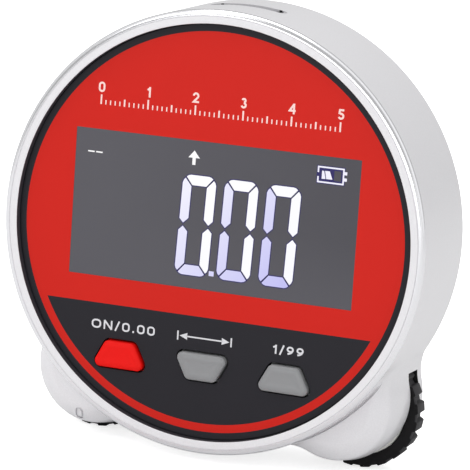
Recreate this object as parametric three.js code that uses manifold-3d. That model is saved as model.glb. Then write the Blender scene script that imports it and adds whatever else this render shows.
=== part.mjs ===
// Digital rolling ruler: a round hand-held distance gauge that runs on two small rubber wheels.
// Millimetres, +Z up. The face looks towards -Y and X runs to the right of someone who reads it.
// The origin is on the floor under the middle of the box round the whole object.
// Inside the model, depths run along Y from the front of the printed label, positive to the rear,
// and heights run along Z from the centre of the round face.

import * as THREE from 'three';
import { mergeVertices } from 'three/addons/utils/BufferGeometryUtils.js';
import Module from 'manifold-3d';

const wasm = await Module();
wasm.setup();

// Fits and drawing values
const facetSag = 0.07;          // how far a flat facet may lie inside its true circle
const cutOverrun = 1;           // how far a cutting tool runs past the face that it cuts
const seatFit = 0.08;           // radial play of a pin in its seat or of a tyre on its rim
const runFit = 0.14;            // radial play of a wheel on its axle
const slideFit = 0.15;          // play beside a sliding piece
const restGap = 0.3;            // gap at rest between two pieces that nearly touch
const quarters = 4;             // in a full circle

// Round case
const caseRadius = 40;          // at its rear edge
const caseDraft = 0.3;          // the front edge's radius is smaller by this
const caseDepth = 22;           // from the bezel's lip to the rear edge
const caseWall = 2;
const bezelWidth = 2.8;         // from the opening round the label to the case's rear radius
const bezelFlat = 1.3;          // width of the flat front of the bezel
const bezelRound = 0.9;         // how far the bezel's rounded edge drops back
const bezelRoundSteps = 3;
const labelRecess = 1.28;       // the label lies this far behind the lip
const labelThickness = 0.5;
const labelPlay = 0.15;         // gap round the label in the bezel
const frontWall = 1.8;          // wall behind the label

// Wheels and their housings
const wheelSpacing = 51.3;      // between the two axles
const floorClearance = 1.5;     // under the round case
const tyreRadius = 10.7;        // over the lugs
const tyreWidth = 3.8;
const lugHeight = 0.9;
const lugCount = 20;
const lugRootShare = 0.6;       // share of a lug's pitch that its foot takes
const lugTipShare = 0.47;
const rimRadius = 8.2;          // the tyre sits on this
const wheelDepth = 15.9;        // middle plane of the tyres behind the label's front
const slotWidth = 4.4;          // slot in the housing that the tyre runs in
const slotRadialPlay = 0.75;
const lobeRadius = 11.6;        // bulge of the case round each wheel, at its rear edge
const lobeDraft = 0.2;          // its radius is smaller by this where its front edge starts to round
const lobeInset = 2.4;          // the bulge's centre lies nearer the middle than the axle
const lobeRaise = 2.65;         // and higher
const lobeFace = 3;             // depth of the bulge's front face
const lobeRoundDepth = 5.8;     // its front edge is rounded over this depth
const lobeRoundWidth = 4.4;     // and over this width
const lobeRoundSteps = 5;
const lobeHiddenSteps = 8;      // steps of the outline where it lies inside the case
const topStepShare = 0.67;      // shares of a full circle's steps that the outline's round top takes
const footStepShare = 0.11;     // and its round foot
const lobeFillet = 9;           // hollow curve between the bulge and the round case
const lobeSink = 0.15;          // the bulge's inner outline lies this far under the case's skin
const startMarkWidth = 1.4;     // groove that shows where the left wheel touches the floor
const startMarkTop = 5;         // its top above the tyre's lowest point
const startMarkDepth = 0.5;

// Axles
const axleRadius = 1.5;
const axleFrontSeat = 3.8;      // length of axle in the front boss
const axleRearSeat = 4.6;
const bossRadius = 2.4;
const frontBossLength = 4.4;
const hubCollarRadius = 2.7;
const gearBoreRadius = 2;       // the gear is moulded on the hub's collar
const hubWeb = 1.4;
const hubRim = 1.3;

// Measuring gear and encoder
const gearModule = 0.4;         // pitch diameter for each tooth
const gearTeeth = 24;
const pinionTeeth = 12;
const gearWidth = 1.4;
const gearAddendum = 0.3;
const gearDedendum = 0.48;
const gearRelief = 0.6;         // room round the gear in the rear cover
const toothRootShare = 0.52;    // share of the pitch that a tooth takes at its foot
const toothTipShare = 0.2;
const pinRadius = 0.9;
const pinBossRadius = 2.1;
const pinSeat = 3.4;
const discRadius = 4.5;
const discThickness = 0.6;
const discGap = 0.7;            // between the pinion and the disc
const discSlots = 12;
const discSlotDepth = 1.1;
const discSlotShare = 0.5;      // share of the pitch that is left between two slots
const discCollarRadius = 1.8;
const discCollarLength = 0.4;

// Display
const windowWidth = 53.8;
const windowHeight = 26.5;
const windowRise = 2.98;        // centre of the window above the centre of the face
const windowSink = 0.1;         // its front lies this far behind the label's
const windowFlange = 1.2;
const windowFlangeThickness = 0.8;
const glassMarginSide = 1.1;
const glassMarginTop = 1.8;
const glassMarginFoot = 2.6;
const glassThickness = 1.6;
const stripWidth = 1.3;
const stripMargin = 6;          // the contact strip is shorter than the glass by this at each end

// Buttons
const buttonSpacing = 15.8;
const buttonWide = 10.9;
const buttonNarrow = 5.5;
const buttonHeight = 4.9;
const buttonCorner = 0.95;
const sideButtonDrop = 24.05;   // centre of the outer buttons below the centre of the face
const middleButtonDrop = 24.1;
const buttonProud = 1;
const buttonCrown = 0.35;       // chamfer round the top
const buttonPlay = 0.28;
const buttonFlange = 1.1;
const buttonFlangeThickness = 0.9;
const buttonRestGap = 0.1;
const buttonTravel = 0.4;
const switchSize = 6;
const switchBodyHeight = 3.5;
const switchHeight = 4.3;       // with its plunger
const plungerRadius = 1.7;
const plungerGuide = 0.8;       // length of plunger inside the body at rest

// Main board
const boardThickness = 1.2;
const boardHalfWidth = 27;
const boardAxleGap = 5.25;      // the narrow foot of the board ends this far from each axle
const boardHalfHead = 18;
const boardTop = 25.8;
const boardShoulder = 18;       // height where the board narrows to its head
const boardWaist = 15;          // drop where it narrows to its foot
const boardFoot = 28;
const boardPostRadius = 2.3;
const boardPostHeadX = 15;
const boardPostHeadGap = 2.27;  // between the glass and the posts above it
const boardPostFootX = 7;
const boardPostFootGap = 1.63;  // and the posts below it
const chipSize = 10;
const chipThickness = 1.5;
const chipDrop = 5;
const crystalRadius = 1.5;
const crystalLength = 6;
const crystalX = 9;
const crystalDrop = 15;

// Screws
const boardScrewRadius = 0.95;
const boardScrewLength = 4;
const boardScrewHeadRadius = 1.9;
const boardScrewHead = 1.2;
const coverScrewRadius = 1;
const coverScrewLength = 8;
const coverScrewHeadRadius = 1.9;
const coverScrewHead = 1.4;
const crossWidth = 0.6;
const crossDepth = 0.7;
const crossShare = 0.66;        // share of the head's radius that the cross reaches
const coverPostRadius = 2.5;
const coverPillarRadius = 3.2;
const coverCounterbore = 2.2;   // radius
const coverScrewSideMargin = 6.5;     // from the case's inner wall
const coverScrewSideZ = 3;
const coverScrewFootX = 5.5;
const coverScrewFootMargin = 6.2;

// Rear cover
const coverWall = 1.8;
const coverEdge = 2;            // depth of the edge that sits inside the case
const coverPlay = 0.2;
const coverStep = 1;            // the raised back starts this far inside the edge
const coverRound = 1.8;         // its edge draws in by this
const coverRoundDepth = 2.4;    // over this depth
const coverRoundSteps = 3;

// Batteries, two AAA cells
const cellRadius = 5.25;
const cellLength = 43.7;        // without its button
const cellButtonRadius = 1.9;
const cellButton = 0.8;
const cellPlay = 0.35;
const bayRise = 8;              // centre of the battery bay above the centre of the face
const bayWall = 1.2;
const bayBoardGap = 3.87;       // between the main board and the bay's front wall
const contactThickness = 0.4;
const contactWidth = 8;
const springLength = 4.2;
const springRadius = 2.8;
const springTopRadius = 1.8;
const springWire = 0.5;         // diameter
const springTurns = 4;
const springSteps = 8;          // in each turn
const springSides = 5;

// Battery lid
const lidMargin = 2.25;         // the lid reaches this far past each end of the bay
const lidThickness = 1.5;
const lidTongue = 0.8;          // runs in a groove on each side
const lidTongueThickness = 0.7;
const lidFoot = 6;              // straight lower edge below the centre of the face
const lidBed = 1.5;             // thickness of the seat under the lid
const lidEdgeInset = 0.3;       // the round top edge lies this far inside the raised back
const gripCount = 5;
const gripWidth = 16;
const gripPitch = 1.8;
const gripDepth = 0.4;
const gripThickness = 0.8;
const gripDrop = 1;             // the grip starts this far above the lid's lower edge

// Encoder sensor
const sensorBoardThickness = 1;
const sensorBoardWidth = 9.6;
const sensorBoardHeight = 8;
const sensorReach = 1.6;        // how far the arms reach over the disc's rim
const sensorBack = 3.4;         // how far the sensor runs past the rim
const sensorHeight = 4.6;
const sensorArm = 0.8;          // thickness of the front arm
const sensorBase = 1.2;         // and of the rear one, which lies on the board
const sensorAirGap = 0.5;       // between the disc and each arm
const sensorPostRadius = 1.9;

// Lanyard loop in the top of the case
const lanyardLength = 13;
const lanyardWidth = 2.5;
const lanyardRecess = 0.7;
const lanyardDepth = 12.5;      // its middle behind the label's front
const lanyardHoleRadius = 0.95;
const lanyardHoleSpacing = 10.2;
const lanyardPad = 3.4;         // extra wall under it
const lanyardPadMargin = 1.6;
const lanyardTunnel = 1.5;      // height of the tunnel that joins the two holes

// Depths and places that follow from these
const lip = -labelRecess;
const caseBack = lip + caseDepth;
const wallFront = labelThickness;
const wallBack = wallFront + frontWall;
const bezelOpening = caseRadius - bezelWidth;
const caseInner = caseRadius - caseDraft - caseWall;
const dialHeight = caseRadius + floorClearance;
const axleX = wheelSpacing / 2;
const tyreFoot = tyreRadius * Math.cos(Math.PI / lugCount * (1 - lugTipShare));
const axleZ = tyreFoot - dialHeight;
const lobeX = axleX - lobeInset;
const lobeZ = axleZ + lobeRaise;
const lobeStraight = lobeFace + lobeRoundDepth;
const lobeInner = lobeRadius - lobeDraft - caseWall;
const lobeInnerFace = lobeFace + caseWall;
const flangeFront = wallBack + buttonRestGap;
const flangeBack = flangeFront + buttonFlangeThickness;
const boardFront = flangeBack + switchHeight;
const boardBack = boardFront + boardThickness;
const boardHalfFoot = axleX - boardAxleGap;
const bayDepth = (cellRadius + cellPlay) * 2;
const bayFront = boardBack + bayBoardGap + bayWall;
const lidBedBack = bayFront + bayDepth;
const lidFront = lidBedBack + slideFit;
const coverBack = lidFront + lidThickness;
const windowFlangeBack = wallBack + windowFlangeThickness;
const glassFront = windowFlangeBack + restGap;
const glassBack = glassFront + glassThickness;
const glassLeft = windowWidth / 2 + glassMarginSide;
const glassTop = windowRise + windowHeight / 2 + glassMarginTop;
const glassFoot = windowRise - windowHeight / 2 - glassMarginFoot;
const boardPostHeadZ = glassTop + boardPostHeadGap + boardPostRadius;
const boardPostFootZ = boardPostFootGap + boardPostRadius - glassFoot;
const tyreFront = wheelDepth - tyreWidth / 2;
const tyreBack = wheelDepth + tyreWidth / 2;
const frontBossEnd = lobeInnerFace + frontBossLength;
const hubFront = frontBossEnd + restGap;
const gearFront = tyreBack + restGap;
const gearBack = gearFront + gearWidth;
const rearBossEnd = gearBack + restGap;
const axleFront = frontBossEnd - axleFrontSeat;
const axleBack = rearBossEnd + axleRearSeat;
const coverInner = coverBack - coverWall;
const coverFront = caseBack - coverEdge;
const gearPitch = gearModule * gearTeeth / 2;
const gearTip = gearPitch + gearAddendum;
const pinionDistance = gearModule * (gearTeeth + pinionTeeth) / 2;
const pinionAngle = Math.atan2(-axleZ, axleX);
const pinionX = -axleX + pinionDistance * Math.cos(pinionAngle);
const pinionZ = axleZ + pinionDistance * Math.sin(pinionAngle);
const discFront = gearBack + discGap;
const discBack = discFront + discThickness;
const pinBossEnd = discBack + discCollarLength + restGap;
const sensorFront = discFront - sensorAirGap - sensorArm;
const sensorBoardFront = discBack + sensorAirGap + sensorBase;
const sensorBoardBack = sensorBoardFront + sensorBoardThickness;
const sensorLeft = pinionX + discRadius - sensorReach;
const sensorRight = pinionX + discRadius + sensorBack;
const bayHalfLength = contactThickness + (springLength + cellLength + cellButton) / 2;
const bayHalfHeight = (cellRadius + cellPlay) * 2;
const cellDepth = bayFront + cellRadius + cellPlay / 2;
const cellOffset = cellRadius + cellPlay;
const lidHalfWidth = bayHalfLength + lidMargin;
const coverScrewSideX = caseInner - coverScrewSideMargin;
const coverScrewFootZ = caseInner - coverScrewFootMargin;

// Materials
const finish = (color, roughness, metalness = 0) =>
  new THREE.MeshStandardMaterial({ color, roughness, metalness });
const silverPaint = finish(0xdfdfe3, 0.42, 0.15);
const coverPlastic = finish(0xc9cacf, 0.5);
const labelFilm = finish(0xcf2f28, 0.35);
const clearPlastic = finish(0x5f5e63, 0.1);
const displayGlass = finish(0x2c2c34, 0.08);
const lightGuide = finish(0xf2f4ff, 0.3);
const boardResin = finish(0x1e6b3c, 0.55);
const redRubber = finish(0xe8261b, 0.6);
const greyRubber = finish(0x9a9d9c, 0.6);
const blackRubber = finish(0x232325, 0.85);
const blackPlastic = finish(0x1c1c1e, 0.5);
const whitePlastic = finish(0xe9e9e4, 0.45);
const brightSteel = finish(0xb9bcc0, 0.3, 1);
const nickel = finish(0xc4c1b6, 0.32, 1);
const cellJacket = finish(0x2f6fb4, 0.4, 0.3);

// Geometry helpers

function solidOf(geometry) {
  const bare = geometry.clone();
  bare.deleteAttribute('normal');
  bare.deleteAttribute('uv');
  const merged = mergeVertices(bare);
  return new wasm.Manifold(new wasm.Mesh({
    numProp: 3,
    vertProperties: merged.attributes.position.array,
    triVerts: new Uint32Array(merged.index.array),
  }));
}

function geometryOf(solid) {
  const { vertProperties, triVerts } = solid.getMesh();
  const geometry = new THREE.BufferGeometry();
  geometry.setAttribute('position', new THREE.BufferAttribute(vertProperties, 3));
  geometry.setIndex(new THREE.BufferAttribute(triVerts, 1));
  geometry.computeVertexNormals();
  return geometry;
}

const join = (solids) => solids.reduce((whole, solid) => whole.add(solid));
const cut = (solid, tools) => tools.reduce((whole, tool) => whole.subtract(tool), solid);

// Number of straight steps that keep an arc within the facet sag.
const arcSteps = (radius, angle) =>
  Math.max(2, Math.ceil(Math.abs(angle) / (2 * Math.acos(1 - Math.min(facetSag / radius, 0.5)))));

// Steps of a full circle, with a corner at each quarter so that it is as wide and high as it should be.
const circleSteps = (radius) => quarters * Math.ceil(arcSteps(radius, 2 * Math.PI) / quarters);

function arc(x, z, radius, from, to, steps = arcSteps(radius, to - from)) {
  return Array.from({ length: steps + 1 }, (_, i) => {
    const angle = from + (to - from) * i / steps;
    return new THREE.Vector2(x + radius * Math.cos(angle), z + radius * Math.sin(angle));
  });
}

// The steps of a quarter turn, as cosines and sines.
const quarter = (steps) => Array.from({ length: steps + 1 }, (_, i) => {
  const angle = Math.PI / 2 * i / steps;
  return { along: Math.cos(angle), across: Math.sin(angle) };
});

const circle = (x, z, radius) => arc(x, z, radius, 0, 2 * Math.PI, circleSteps(radius)).slice(0, -1);

function box(left, right, foot, top) {
  return [[left, foot], [right, foot], [right, top], [left, top]]
    .map(([x, z]) => new THREE.Vector2(x, z));
}

// An outline in X and Z, with holes, made solid from one depth to another.
function slab(points, front, back, holes = []) {
  const shape = new THREE.Shape(points);
  shape.holes = holes.map((hole) => new THREE.Path(hole));
  const geometry = new THREE.ExtrudeGeometry(shape, { depth: back - front, bevelEnabled: false });
  return solidOf(geometry.rotateX(Math.PI / 2).translate(0, back, 0));
}

const block = (left, right, front, back, foot, top) => slab(box(left, right, foot, top), front, back);
const disc = (x, z, radius, front, back) => slab(circle(x, z, radius), front, back);

// A profile of radius and depth turned round an axis that runs along Y through x and z.
// The profile runs from the front to the rear on its outer side.
function turned(profile, x, z) {
  const widest = Math.max(...profile.map(([radius]) => radius));
  const points = profile.map(([radius, depth]) => new THREE.Vector2(radius, depth));
  const geometry = new THREE.LatheGeometry(points, circleSteps(widest));
  return solidOf(geometry.translate(x, 0, z));
}

// Outlines of equal length at rising depths, joined into one body.
function loft(sections) {
  const count = sections[0].points.length;
  const positions = sections.flatMap(({ depth, points }) => points.flatMap((p) => [p.x, depth, p.y]));
  const index = [];
  for (let s = 0; s < sections.length - 1; s++) {
    for (let i = 0; i < count; i++) {
      const a = s * count + i;
      const b = s * count + (i + 1) % count;
      index.push(a, a + count, b, b, a + count, b + count);
    }
  }
  const last = (sections.length - 1) * count;
  THREE.ShapeUtils.triangulateShape(sections[0].points, []).forEach(([a, b, c]) => index.push(a, b, c));
  THREE.ShapeUtils.triangulateShape(sections.at(-1).points, [])
    .forEach(([a, b, c]) => index.push(last + c, last + b, last + a));
  const geometry = new THREE.BufferGeometry();
  geometry.setAttribute('position', new THREE.Float32BufferAttribute(positions, 3));
  geometry.setIndex(index);
  return solidOf(geometry);
}

// The outline of the case: a circle with a round bulge at each wheel and hollow curves between.
// Its number of points doesn't depend on the three radii, so that outlines can be joined to each other.
// The round steps are spread over the circle's long top and short foot.
function caseOutline(round, lobe, fillet, roundSteps = arcSteps(caseRadius, Math.PI * 2)) {
  const distance = Math.hypot(lobeX, lobeZ);
  const lobeAngle = Math.atan2(lobeZ, lobeX);
  const spread = Math.acos(
    ((round + fillet) ** 2 + distance ** 2 - (lobe + fillet) ** 2) / (2 * (round + fillet) * distance));
  const fillets = [lobeAngle - spread, lobeAngle + spread].map((angle) => ({
    angle,
    x: (round + fillet) * Math.cos(angle),
    z: (round + fillet) * Math.sin(angle),
  }));
  const towardsLobe = fillets.map(({ x, z }) => Math.atan2(lobeZ - z, lobeX - x));
  const [low, high] = fillets;
  const sweep = (x, z, radius, from, to, steps) =>
    Array.from({ length: steps }, (_, i) => {
      const angle = from + (to - from) * i / steps;
      return new THREE.Vector2(x + radius * Math.cos(angle), z + radius * Math.sin(angle));
    });
  const lobeFrom = towardsLobe[0] - Math.PI;
  const lobeTo = towardsLobe[1] + Math.PI;
  const filletSteps = arcSteps(lobeFillet, Math.PI / 3);
  const lobeSteps = arcSteps(lobeRadius, Math.PI);
  const right = [
    ...sweep(low.x, low.z, fillet, low.angle + Math.PI, unwrap(towardsLobe[0], low.angle + Math.PI),
      filletSteps),
    ...sweep(lobeX, lobeZ, lobe, lobeFrom, unwrap(lobeTo, lobeFrom + Math.PI), lobeSteps),
    ...sweep(high.x, high.z, fillet, unwrap(towardsLobe[1], high.angle + Math.PI), high.angle + Math.PI,
      filletSteps),
    new THREE.Vector2(round * Math.cos(high.angle), round * Math.sin(high.angle)),
  ];
  const footSteps = Math.ceil(roundSteps * footStepShare);
  const topSteps = Math.ceil(roundSteps * topStepShare);
  const top = sweep(0, 0, round, high.angle, Math.PI - high.angle, topSteps).slice(1);
  const left = right.map((p) => new THREE.Vector2(-p.x, p.y)).reverse();
  const foot = sweep(0, 0, round, -Math.PI - low.angle, low.angle, footSteps).slice(1);
  return [...right, ...top, ...left, ...foot];
}

// The same angle, within half a turn of another.
const unwrap = (angle, near) => angle - 2 * Math.PI * Math.round((angle - near) / (2 * Math.PI));

// The hollow inside the case, drawn in by a gap.
const innerOutline = (gap) => caseOutline(caseInner - gap, lobeInner - gap, lobeFillet + caseWall + gap);

// A ring of equal teeth or lugs, one of them centred on the given angle.
function toothed(x, z, rootRadius, tipRadius, count, rootShare, tipShare, phase) {
  const pitch = 2 * Math.PI / count;
  return Array.from({ length: count }, (_, i) => phase + i * pitch).flatMap((middle) =>
    [[rootRadius, -rootShare], [tipRadius, -tipShare], [tipRadius, tipShare], [rootRadius, rootShare]]
      .map(([radius, share]) => {
        const angle = middle + share * pitch / 2;
        return new THREE.Vector2(x + radius * Math.cos(angle), z + radius * Math.sin(angle));
      }));
}

// A convex outline with each corner rounded. The corners run from the lower left to the right.
// The nominal radius sets the number of steps.
function rounded(corners, radius, nominal) {
  return corners.flatMap((corner, i) => {
    const before = corners.at(i - 1);
    const after = corners[(i + 1) % corners.length];
    const into = corner.clone().sub(before).normalize();
    const out = after.clone().sub(corner).normalize();
    const from = Math.atan2(into.y, into.x) - Math.PI / 2;
    const to = unwrap(Math.atan2(out.y, out.x) - Math.PI / 2, from);
    const reach = radius * Math.tan((to - from) / 2);
    const start = corner.clone().addScaledVector(into, -reach);
    return arc(start.x - radius * Math.cos(from), start.y - radius * Math.sin(from), radius, from, to,
      arcSteps(nominal, to - from));
  });
}

// A button's trapezium, wide at the top or at the foot, grown on every side.
function buttonOutline(x, z, wideOnTop, grow) {
  const slope = (wideOnTop ? 1 : -1) * (buttonWide - buttonNarrow) / 2 / buttonHeight;
  const middle = (buttonWide + buttonNarrow) / 4 + grow / Math.cos(Math.atan(slope));
  const half = buttonHeight / 2 + grow;
  const corners = [[-1, -1], [1, -1], [1, 1], [-1, 1]].map(([side, end]) =>
    new THREE.Vector2(x + side * (middle + slope * end * half), z + end * half));
  return rounded(corners, buttonCorner + grow, buttonCorner);
}

const buttons = [
  { name: 'left', x: -buttonSpacing, z: -sideButtonDrop, wideOnTop: false, material: redRubber },
  { name: 'middle', x: 0, z: -middleButtonDrop, wideOnTop: true, material: greyRubber },
  { name: 'right', x: buttonSpacing, z: -sideButtonDrop, wideOnTop: false, material: greyRubber },
];

const boardPosts = [
  [-boardPostHeadX, boardPostHeadZ],
  [boardPostHeadX, boardPostHeadZ],
  [-boardPostFootX, -boardPostFootZ],
  [boardPostFootX, -boardPostFootZ],
];

const coverScrews = [
  [-coverScrewSideX, coverScrewSideZ],
  [coverScrewSideX, coverScrewSideZ],
  [-coverScrewFootX, -coverScrewFootZ],
  [coverScrewFootX, -coverScrewFootZ],
];

// Front housing: bezel, round wall, wheel bulges, bosses and posts in one moulding

function caseBody() {
  const front = caseRadius - caseDraft;
  const edge = bezelOpening + bezelFlat;
  const round = quarter(bezelRoundSteps).map(({ along, across }) =>
    [edge + (front - edge) * across, lip + bezelRound * (1 - along)]);
  return turned([[0, lip], ...round, [caseRadius, caseBack], [0, caseBack]], 0, 0);
}

// The bulge's rounded front edge, drawn in by an inset: radii at rising depths.
function lobeEdge(inset) {
  const radius = lobeRadius - lobeDraft - inset;
  const depth = lobeRoundDepth - inset;
  return quarter(lobeRoundSteps).map(({ along, across }) =>
    [radius - lobeRoundWidth * (1 - across), lobeStraight - depth * along]);
}

function lobeBody() {
  const caseAt = (depth) => caseRadius - caseDraft * (caseBack - depth) / caseDepth - lobeSink;
  const section = (depth, lobe) =>
    ({ depth, points: caseOutline(caseAt(depth), lobe, lobeFillet, lobeHiddenSteps) });
  return loft([
    ...lobeEdge(0).map(([radius, depth]) => section(depth, radius)),
    section(caseBack, lobeRadius),
  ]);
}

// The round body of a bulge alone, drawn in by an inset.
function lobeCore(side, inset) {
  const edge = lobeEdge(inset);
  const [radius] = edge.at(-1);
  const back = lobeStraight + cutOverrun;
  return turned([[0, lobeFace + inset], ...edge, [radius, back], [0, back]], side * lobeX, lobeZ);
}

function lanyardTools() {
  const half = (lanyardLength - lanyardWidth) / 2;
  const end = lanyardWidth / 2;
  const stadium = [
    ...arc(half, lanyardDepth, end, -Math.PI / 2, Math.PI / 2),
    ...arc(-half, lanyardDepth, end, Math.PI / 2, Math.PI * 3 / 2),
  ];
  const floor = caseRadius - caseDraft - lanyardRecess;
  const tunnelTop = floor - lanyardTunnel;
  const tunnelFoot = tunnelTop - lanyardTunnel;
  const upright = (points, foot, top) => solidOf(
    new THREE.ExtrudeGeometry(new THREE.Shape(points), { depth: top - foot, bevelEnabled: false })
      .translate(0, 0, foot));
  const holes = [-1, 1].map((side) => upright(
    circle(side * lanyardHoleSpacing / 2, lanyardDepth, lanyardHoleRadius), tunnelFoot, floor + cutOverrun));
  const tunnel = block(-lanyardHoleSpacing / 2, lanyardHoleSpacing / 2, lanyardDepth - lanyardHoleRadius,
    lanyardDepth + lanyardHoleRadius, tunnelFoot, tunnelTop);
  return [upright(stadium, floor, caseRadius + cutOverrun), ...holes, tunnel];
}

function lanyardPadBody() {
  const half = lanyardLength / 2 + lanyardPadMargin;
  const reach = lanyardWidth / 2 + lanyardPadMargin;
  return block(-half, half, lanyardDepth - reach, lanyardDepth + reach, caseInner - lanyardPad, caseInner);
}

function startMark() {
  const top = startMarkTop - dialHeight;
  const half = startMarkWidth / 2;
  const foot = -dialHeight;
  const outline = [
    ...arc(-axleX, top - half, half, 0, Math.PI),
    new THREE.Vector2(-axleX - half, foot),
    new THREE.Vector2(-axleX + half, foot),
  ];
  return slab(outline, lobeFace - cutOverrun, lobeStraight).subtract(lobeCore(-1, startMarkDepth));
}

function frontHousing() {
  const hollow = [
    disc(0, 0, caseInner, wallBack, caseBack + cutOverrun),
    slab(innerOutline(0), lobeStraight, caseBack + cutOverrun),
    lobeCore(-1, caseWall),
    lobeCore(1, caseWall),
  ];
  const shell = cut(join([caseBody(), lobeBody()]), [
    disc(0, 0, bezelOpening, lip - cutOverrun, wallFront),
    ...hollow,
  ]);
  const bosses = [-1, 1].map((side) =>
    disc(side * axleX, axleZ, bossRadius, lobeInnerFace - caseWall / 2, frontBossEnd));
  const posts = boardPosts.map(([x, z]) =>
    disc(x, z, boardPostRadius, wallBack - frontWall / 2, boardFront));
  const coverPosts = coverScrews.map(([x, z]) =>
    disc(x, z, coverPostRadius, wallBack - frontWall / 2, coverFront - restGap));
  const whole = join([shell, ...bosses, ...posts, ...coverPosts, lanyardPadBody()]);
  const halfWindow = windowWidth / 2 + slideFit;
  const windowFoot = windowRise - windowHeight / 2 - slideFit;
  const windowTop = windowRise + windowHeight / 2 + slideFit;
  return cut(whole, [
    block(-halfWindow, halfWindow, wallFront - cutOverrun, wallBack + cutOverrun, windowFoot, windowTop),
    ...buttons.map(({ x, z, wideOnTop }) =>
      slab(buttonOutline(x, z, wideOnTop, buttonPlay), wallFront - cutOverrun, wallBack + cutOverrun)),
    ...[-1, 1].map((side) => disc(side * axleX, axleZ, tyreRadius + slotRadialPlay,
      wheelDepth - slotWidth / 2, wheelDepth + slotWidth / 2)),
    ...[-1, 1].map((side) =>
      disc(side * axleX, axleZ, axleRadius + seatFit, axleFront - restGap, frontBossEnd + cutOverrun)),
    ...boardPosts.map(([x, z]) => disc(x, z, boardScrewRadius + seatFit,
      boardBack - boardScrewLength - restGap, boardFront + cutOverrun)),
    ...coverScrews.map(([x, z]) => disc(x, z, coverScrewRadius + seatFit,
      coverScrewSeat - coverScrewLength - restGap, coverFront)),
    ...lanyardTools(),
    startMark(),
  ]);
}

// Rear cover: edge that sits in the case, raised back, battery bay, pillars and bosses in one moulding

const coverScrewSeat = coverFront + coverEdge;

function coverSkin() {
  const section = (depth, gap) => ({ depth, points: innerOutline(gap) });
  const round = quarter(coverRoundSteps).map(({ along, across }) => section(
    coverBack - coverRoundDepth * (1 - across), coverPlay + coverStep + coverRound * (1 - along)));
  return loft([section(coverFront, coverPlay + coverStep), ...round]);
}

function bayOutline(grow) {
  const half = bayHalfLength + grow;
  const halfHeight = bayHalfHeight + grow;
  return box(-half, half, bayRise - halfHeight, bayRise + halfHeight);
}

function lidOutline(halfWidth, grow) {
  const radius = lidTopRadius + grow;
  const angle = Math.acos(halfWidth / radius);
  return [
    new THREE.Vector2(-halfWidth, -lidFoot - grow),
    new THREE.Vector2(halfWidth, -lidFoot - grow),
    ...arc(0, 0, radius, angle, Math.PI - angle),
  ];
}

const lidTopRadius = caseInner - coverPlay - coverStep - coverRound - lidEdgeInset;

function lidRunway() {
  const top = caseRadius;
  const half = lidHalfWidth + slideFit;
  const tongue = half + lidTongue;
  const foot = -lidFoot - slideFit;
  return join([
    block(-half, half, lidBedBack, coverBack + cutOverrun, foot, top),
    block(-tongue, tongue, lidBedBack, lidFront + lidTongueThickness + slideFit, foot, top),
  ]);
}

function rearCover() {
  const outer = coverSkin();
  const edge = slab(innerOutline(coverPlay), coverFront, caseBack);
  const bedHalf = lidHalfWidth + lidTongue + coverWall;
  const bed = block(-bedHalf, bedHalf, lidBedBack - lidBed, coverBack, -lidFoot - coverWall, caseRadius)
    .intersect(outer);
  const hollow = loft([
    { depth: coverFront - cutOverrun, points: innerOutline(coverPlay + coverStep + coverWall) },
    { depth: coverInner - coverRoundDepth, points: innerOutline(coverPlay + coverStep + coverWall) },
    { depth: coverInner, points: innerOutline(coverPlay + coverStep + coverRound + coverWall) },
  ]);
  const shell = cut(join([outer, edge]), [hollow]);
  const bay = slab(bayOutline(bayWall), bayFront - bayWall, lidBedBack);
  const intoWall = coverInner + coverWall / 2;
  const pillars = coverScrews.map(([x, z]) => disc(x, z, coverPillarRadius, coverFront, intoWall));
  const axleBosses = [-1, 1].map((side) => disc(side * axleX, axleZ, bossRadius, rearBossEnd, intoWall));
  const pinBoss = disc(pinionX, pinionZ, pinBossRadius, pinBossEnd, intoWall);
  const sensorPosts = sensorPostPlaces.map(([x, z]) =>
    disc(x, z, sensorPostRadius, sensorBoardBack, intoWall));
  const whole = join([shell, bed, bay, ...pillars, ...axleBosses, pinBoss, ...sensorPosts]);
  return cut(whole, [
    slab(bayOutline(0), bayFront, coverBack + cutOverrun),
    lidRunway(),
    disc(-axleX, axleZ, gearTip + gearRelief, coverFront - cutOverrun, rearBossEnd),
    ...coverScrews.flatMap(([x, z]) => [
      disc(x, z, coverCounterbore, coverScrewSeat, coverBack + cutOverrun),
      disc(x, z, coverScrewRadius + seatFit, coverFront - cutOverrun, coverScrewSeat + cutOverrun),
    ]),
    ...[-1, 1].map((side) =>
      disc(side * axleX, axleZ, axleRadius + seatFit, rearBossEnd - cutOverrun, axleBack + restGap)),
    disc(pinionX, pinionZ, pinRadius + seatFit, pinBossEnd - cutOverrun, pinBossEnd + pinSeat + restGap),
    disc(sensorPostPlaces[0][0], sensorPostPlaces[0][1], boardScrewRadius + seatFit,
      sensorBoardBack - cutOverrun, sensorScrewEnd + restGap),
  ]);
}

// Face

const labelPart = () => slab(circle(0, 0, bezelOpening - labelPlay), 0, labelThickness, [
  box(-windowWidth / 2, windowWidth / 2, windowRise - windowHeight / 2, windowRise + windowHeight / 2),
  ...buttons.map(({ x, z, wideOnTop }) => buttonOutline(x, z, wideOnTop, buttonPlay)),
]);

function displayWindow() {
  const half = windowWidth / 2 - slideFit;
  const halfHeight = windowHeight / 2 - slideFit;
  const flange = windowWidth / 2 + windowFlange;
  const flangeHeight = windowHeight / 2 + windowFlange;
  return join([
    block(-half, half, windowSink, windowFlangeBack, windowRise - halfHeight, windowRise + halfHeight),
    block(-flange, flange, wallBack, windowFlangeBack, windowRise - flangeHeight, windowRise + flangeHeight),
  ]);
}

const displayGlassPart = () => block(-glassLeft, glassLeft, glassFront, glassBack, glassFoot, glassTop);

const backlightFoot = glassFoot + stripWidth + restGap;

const backlight = () => block(-glassLeft, glassLeft, glassBack, boardFront, backlightFoot, glassTop);

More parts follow.
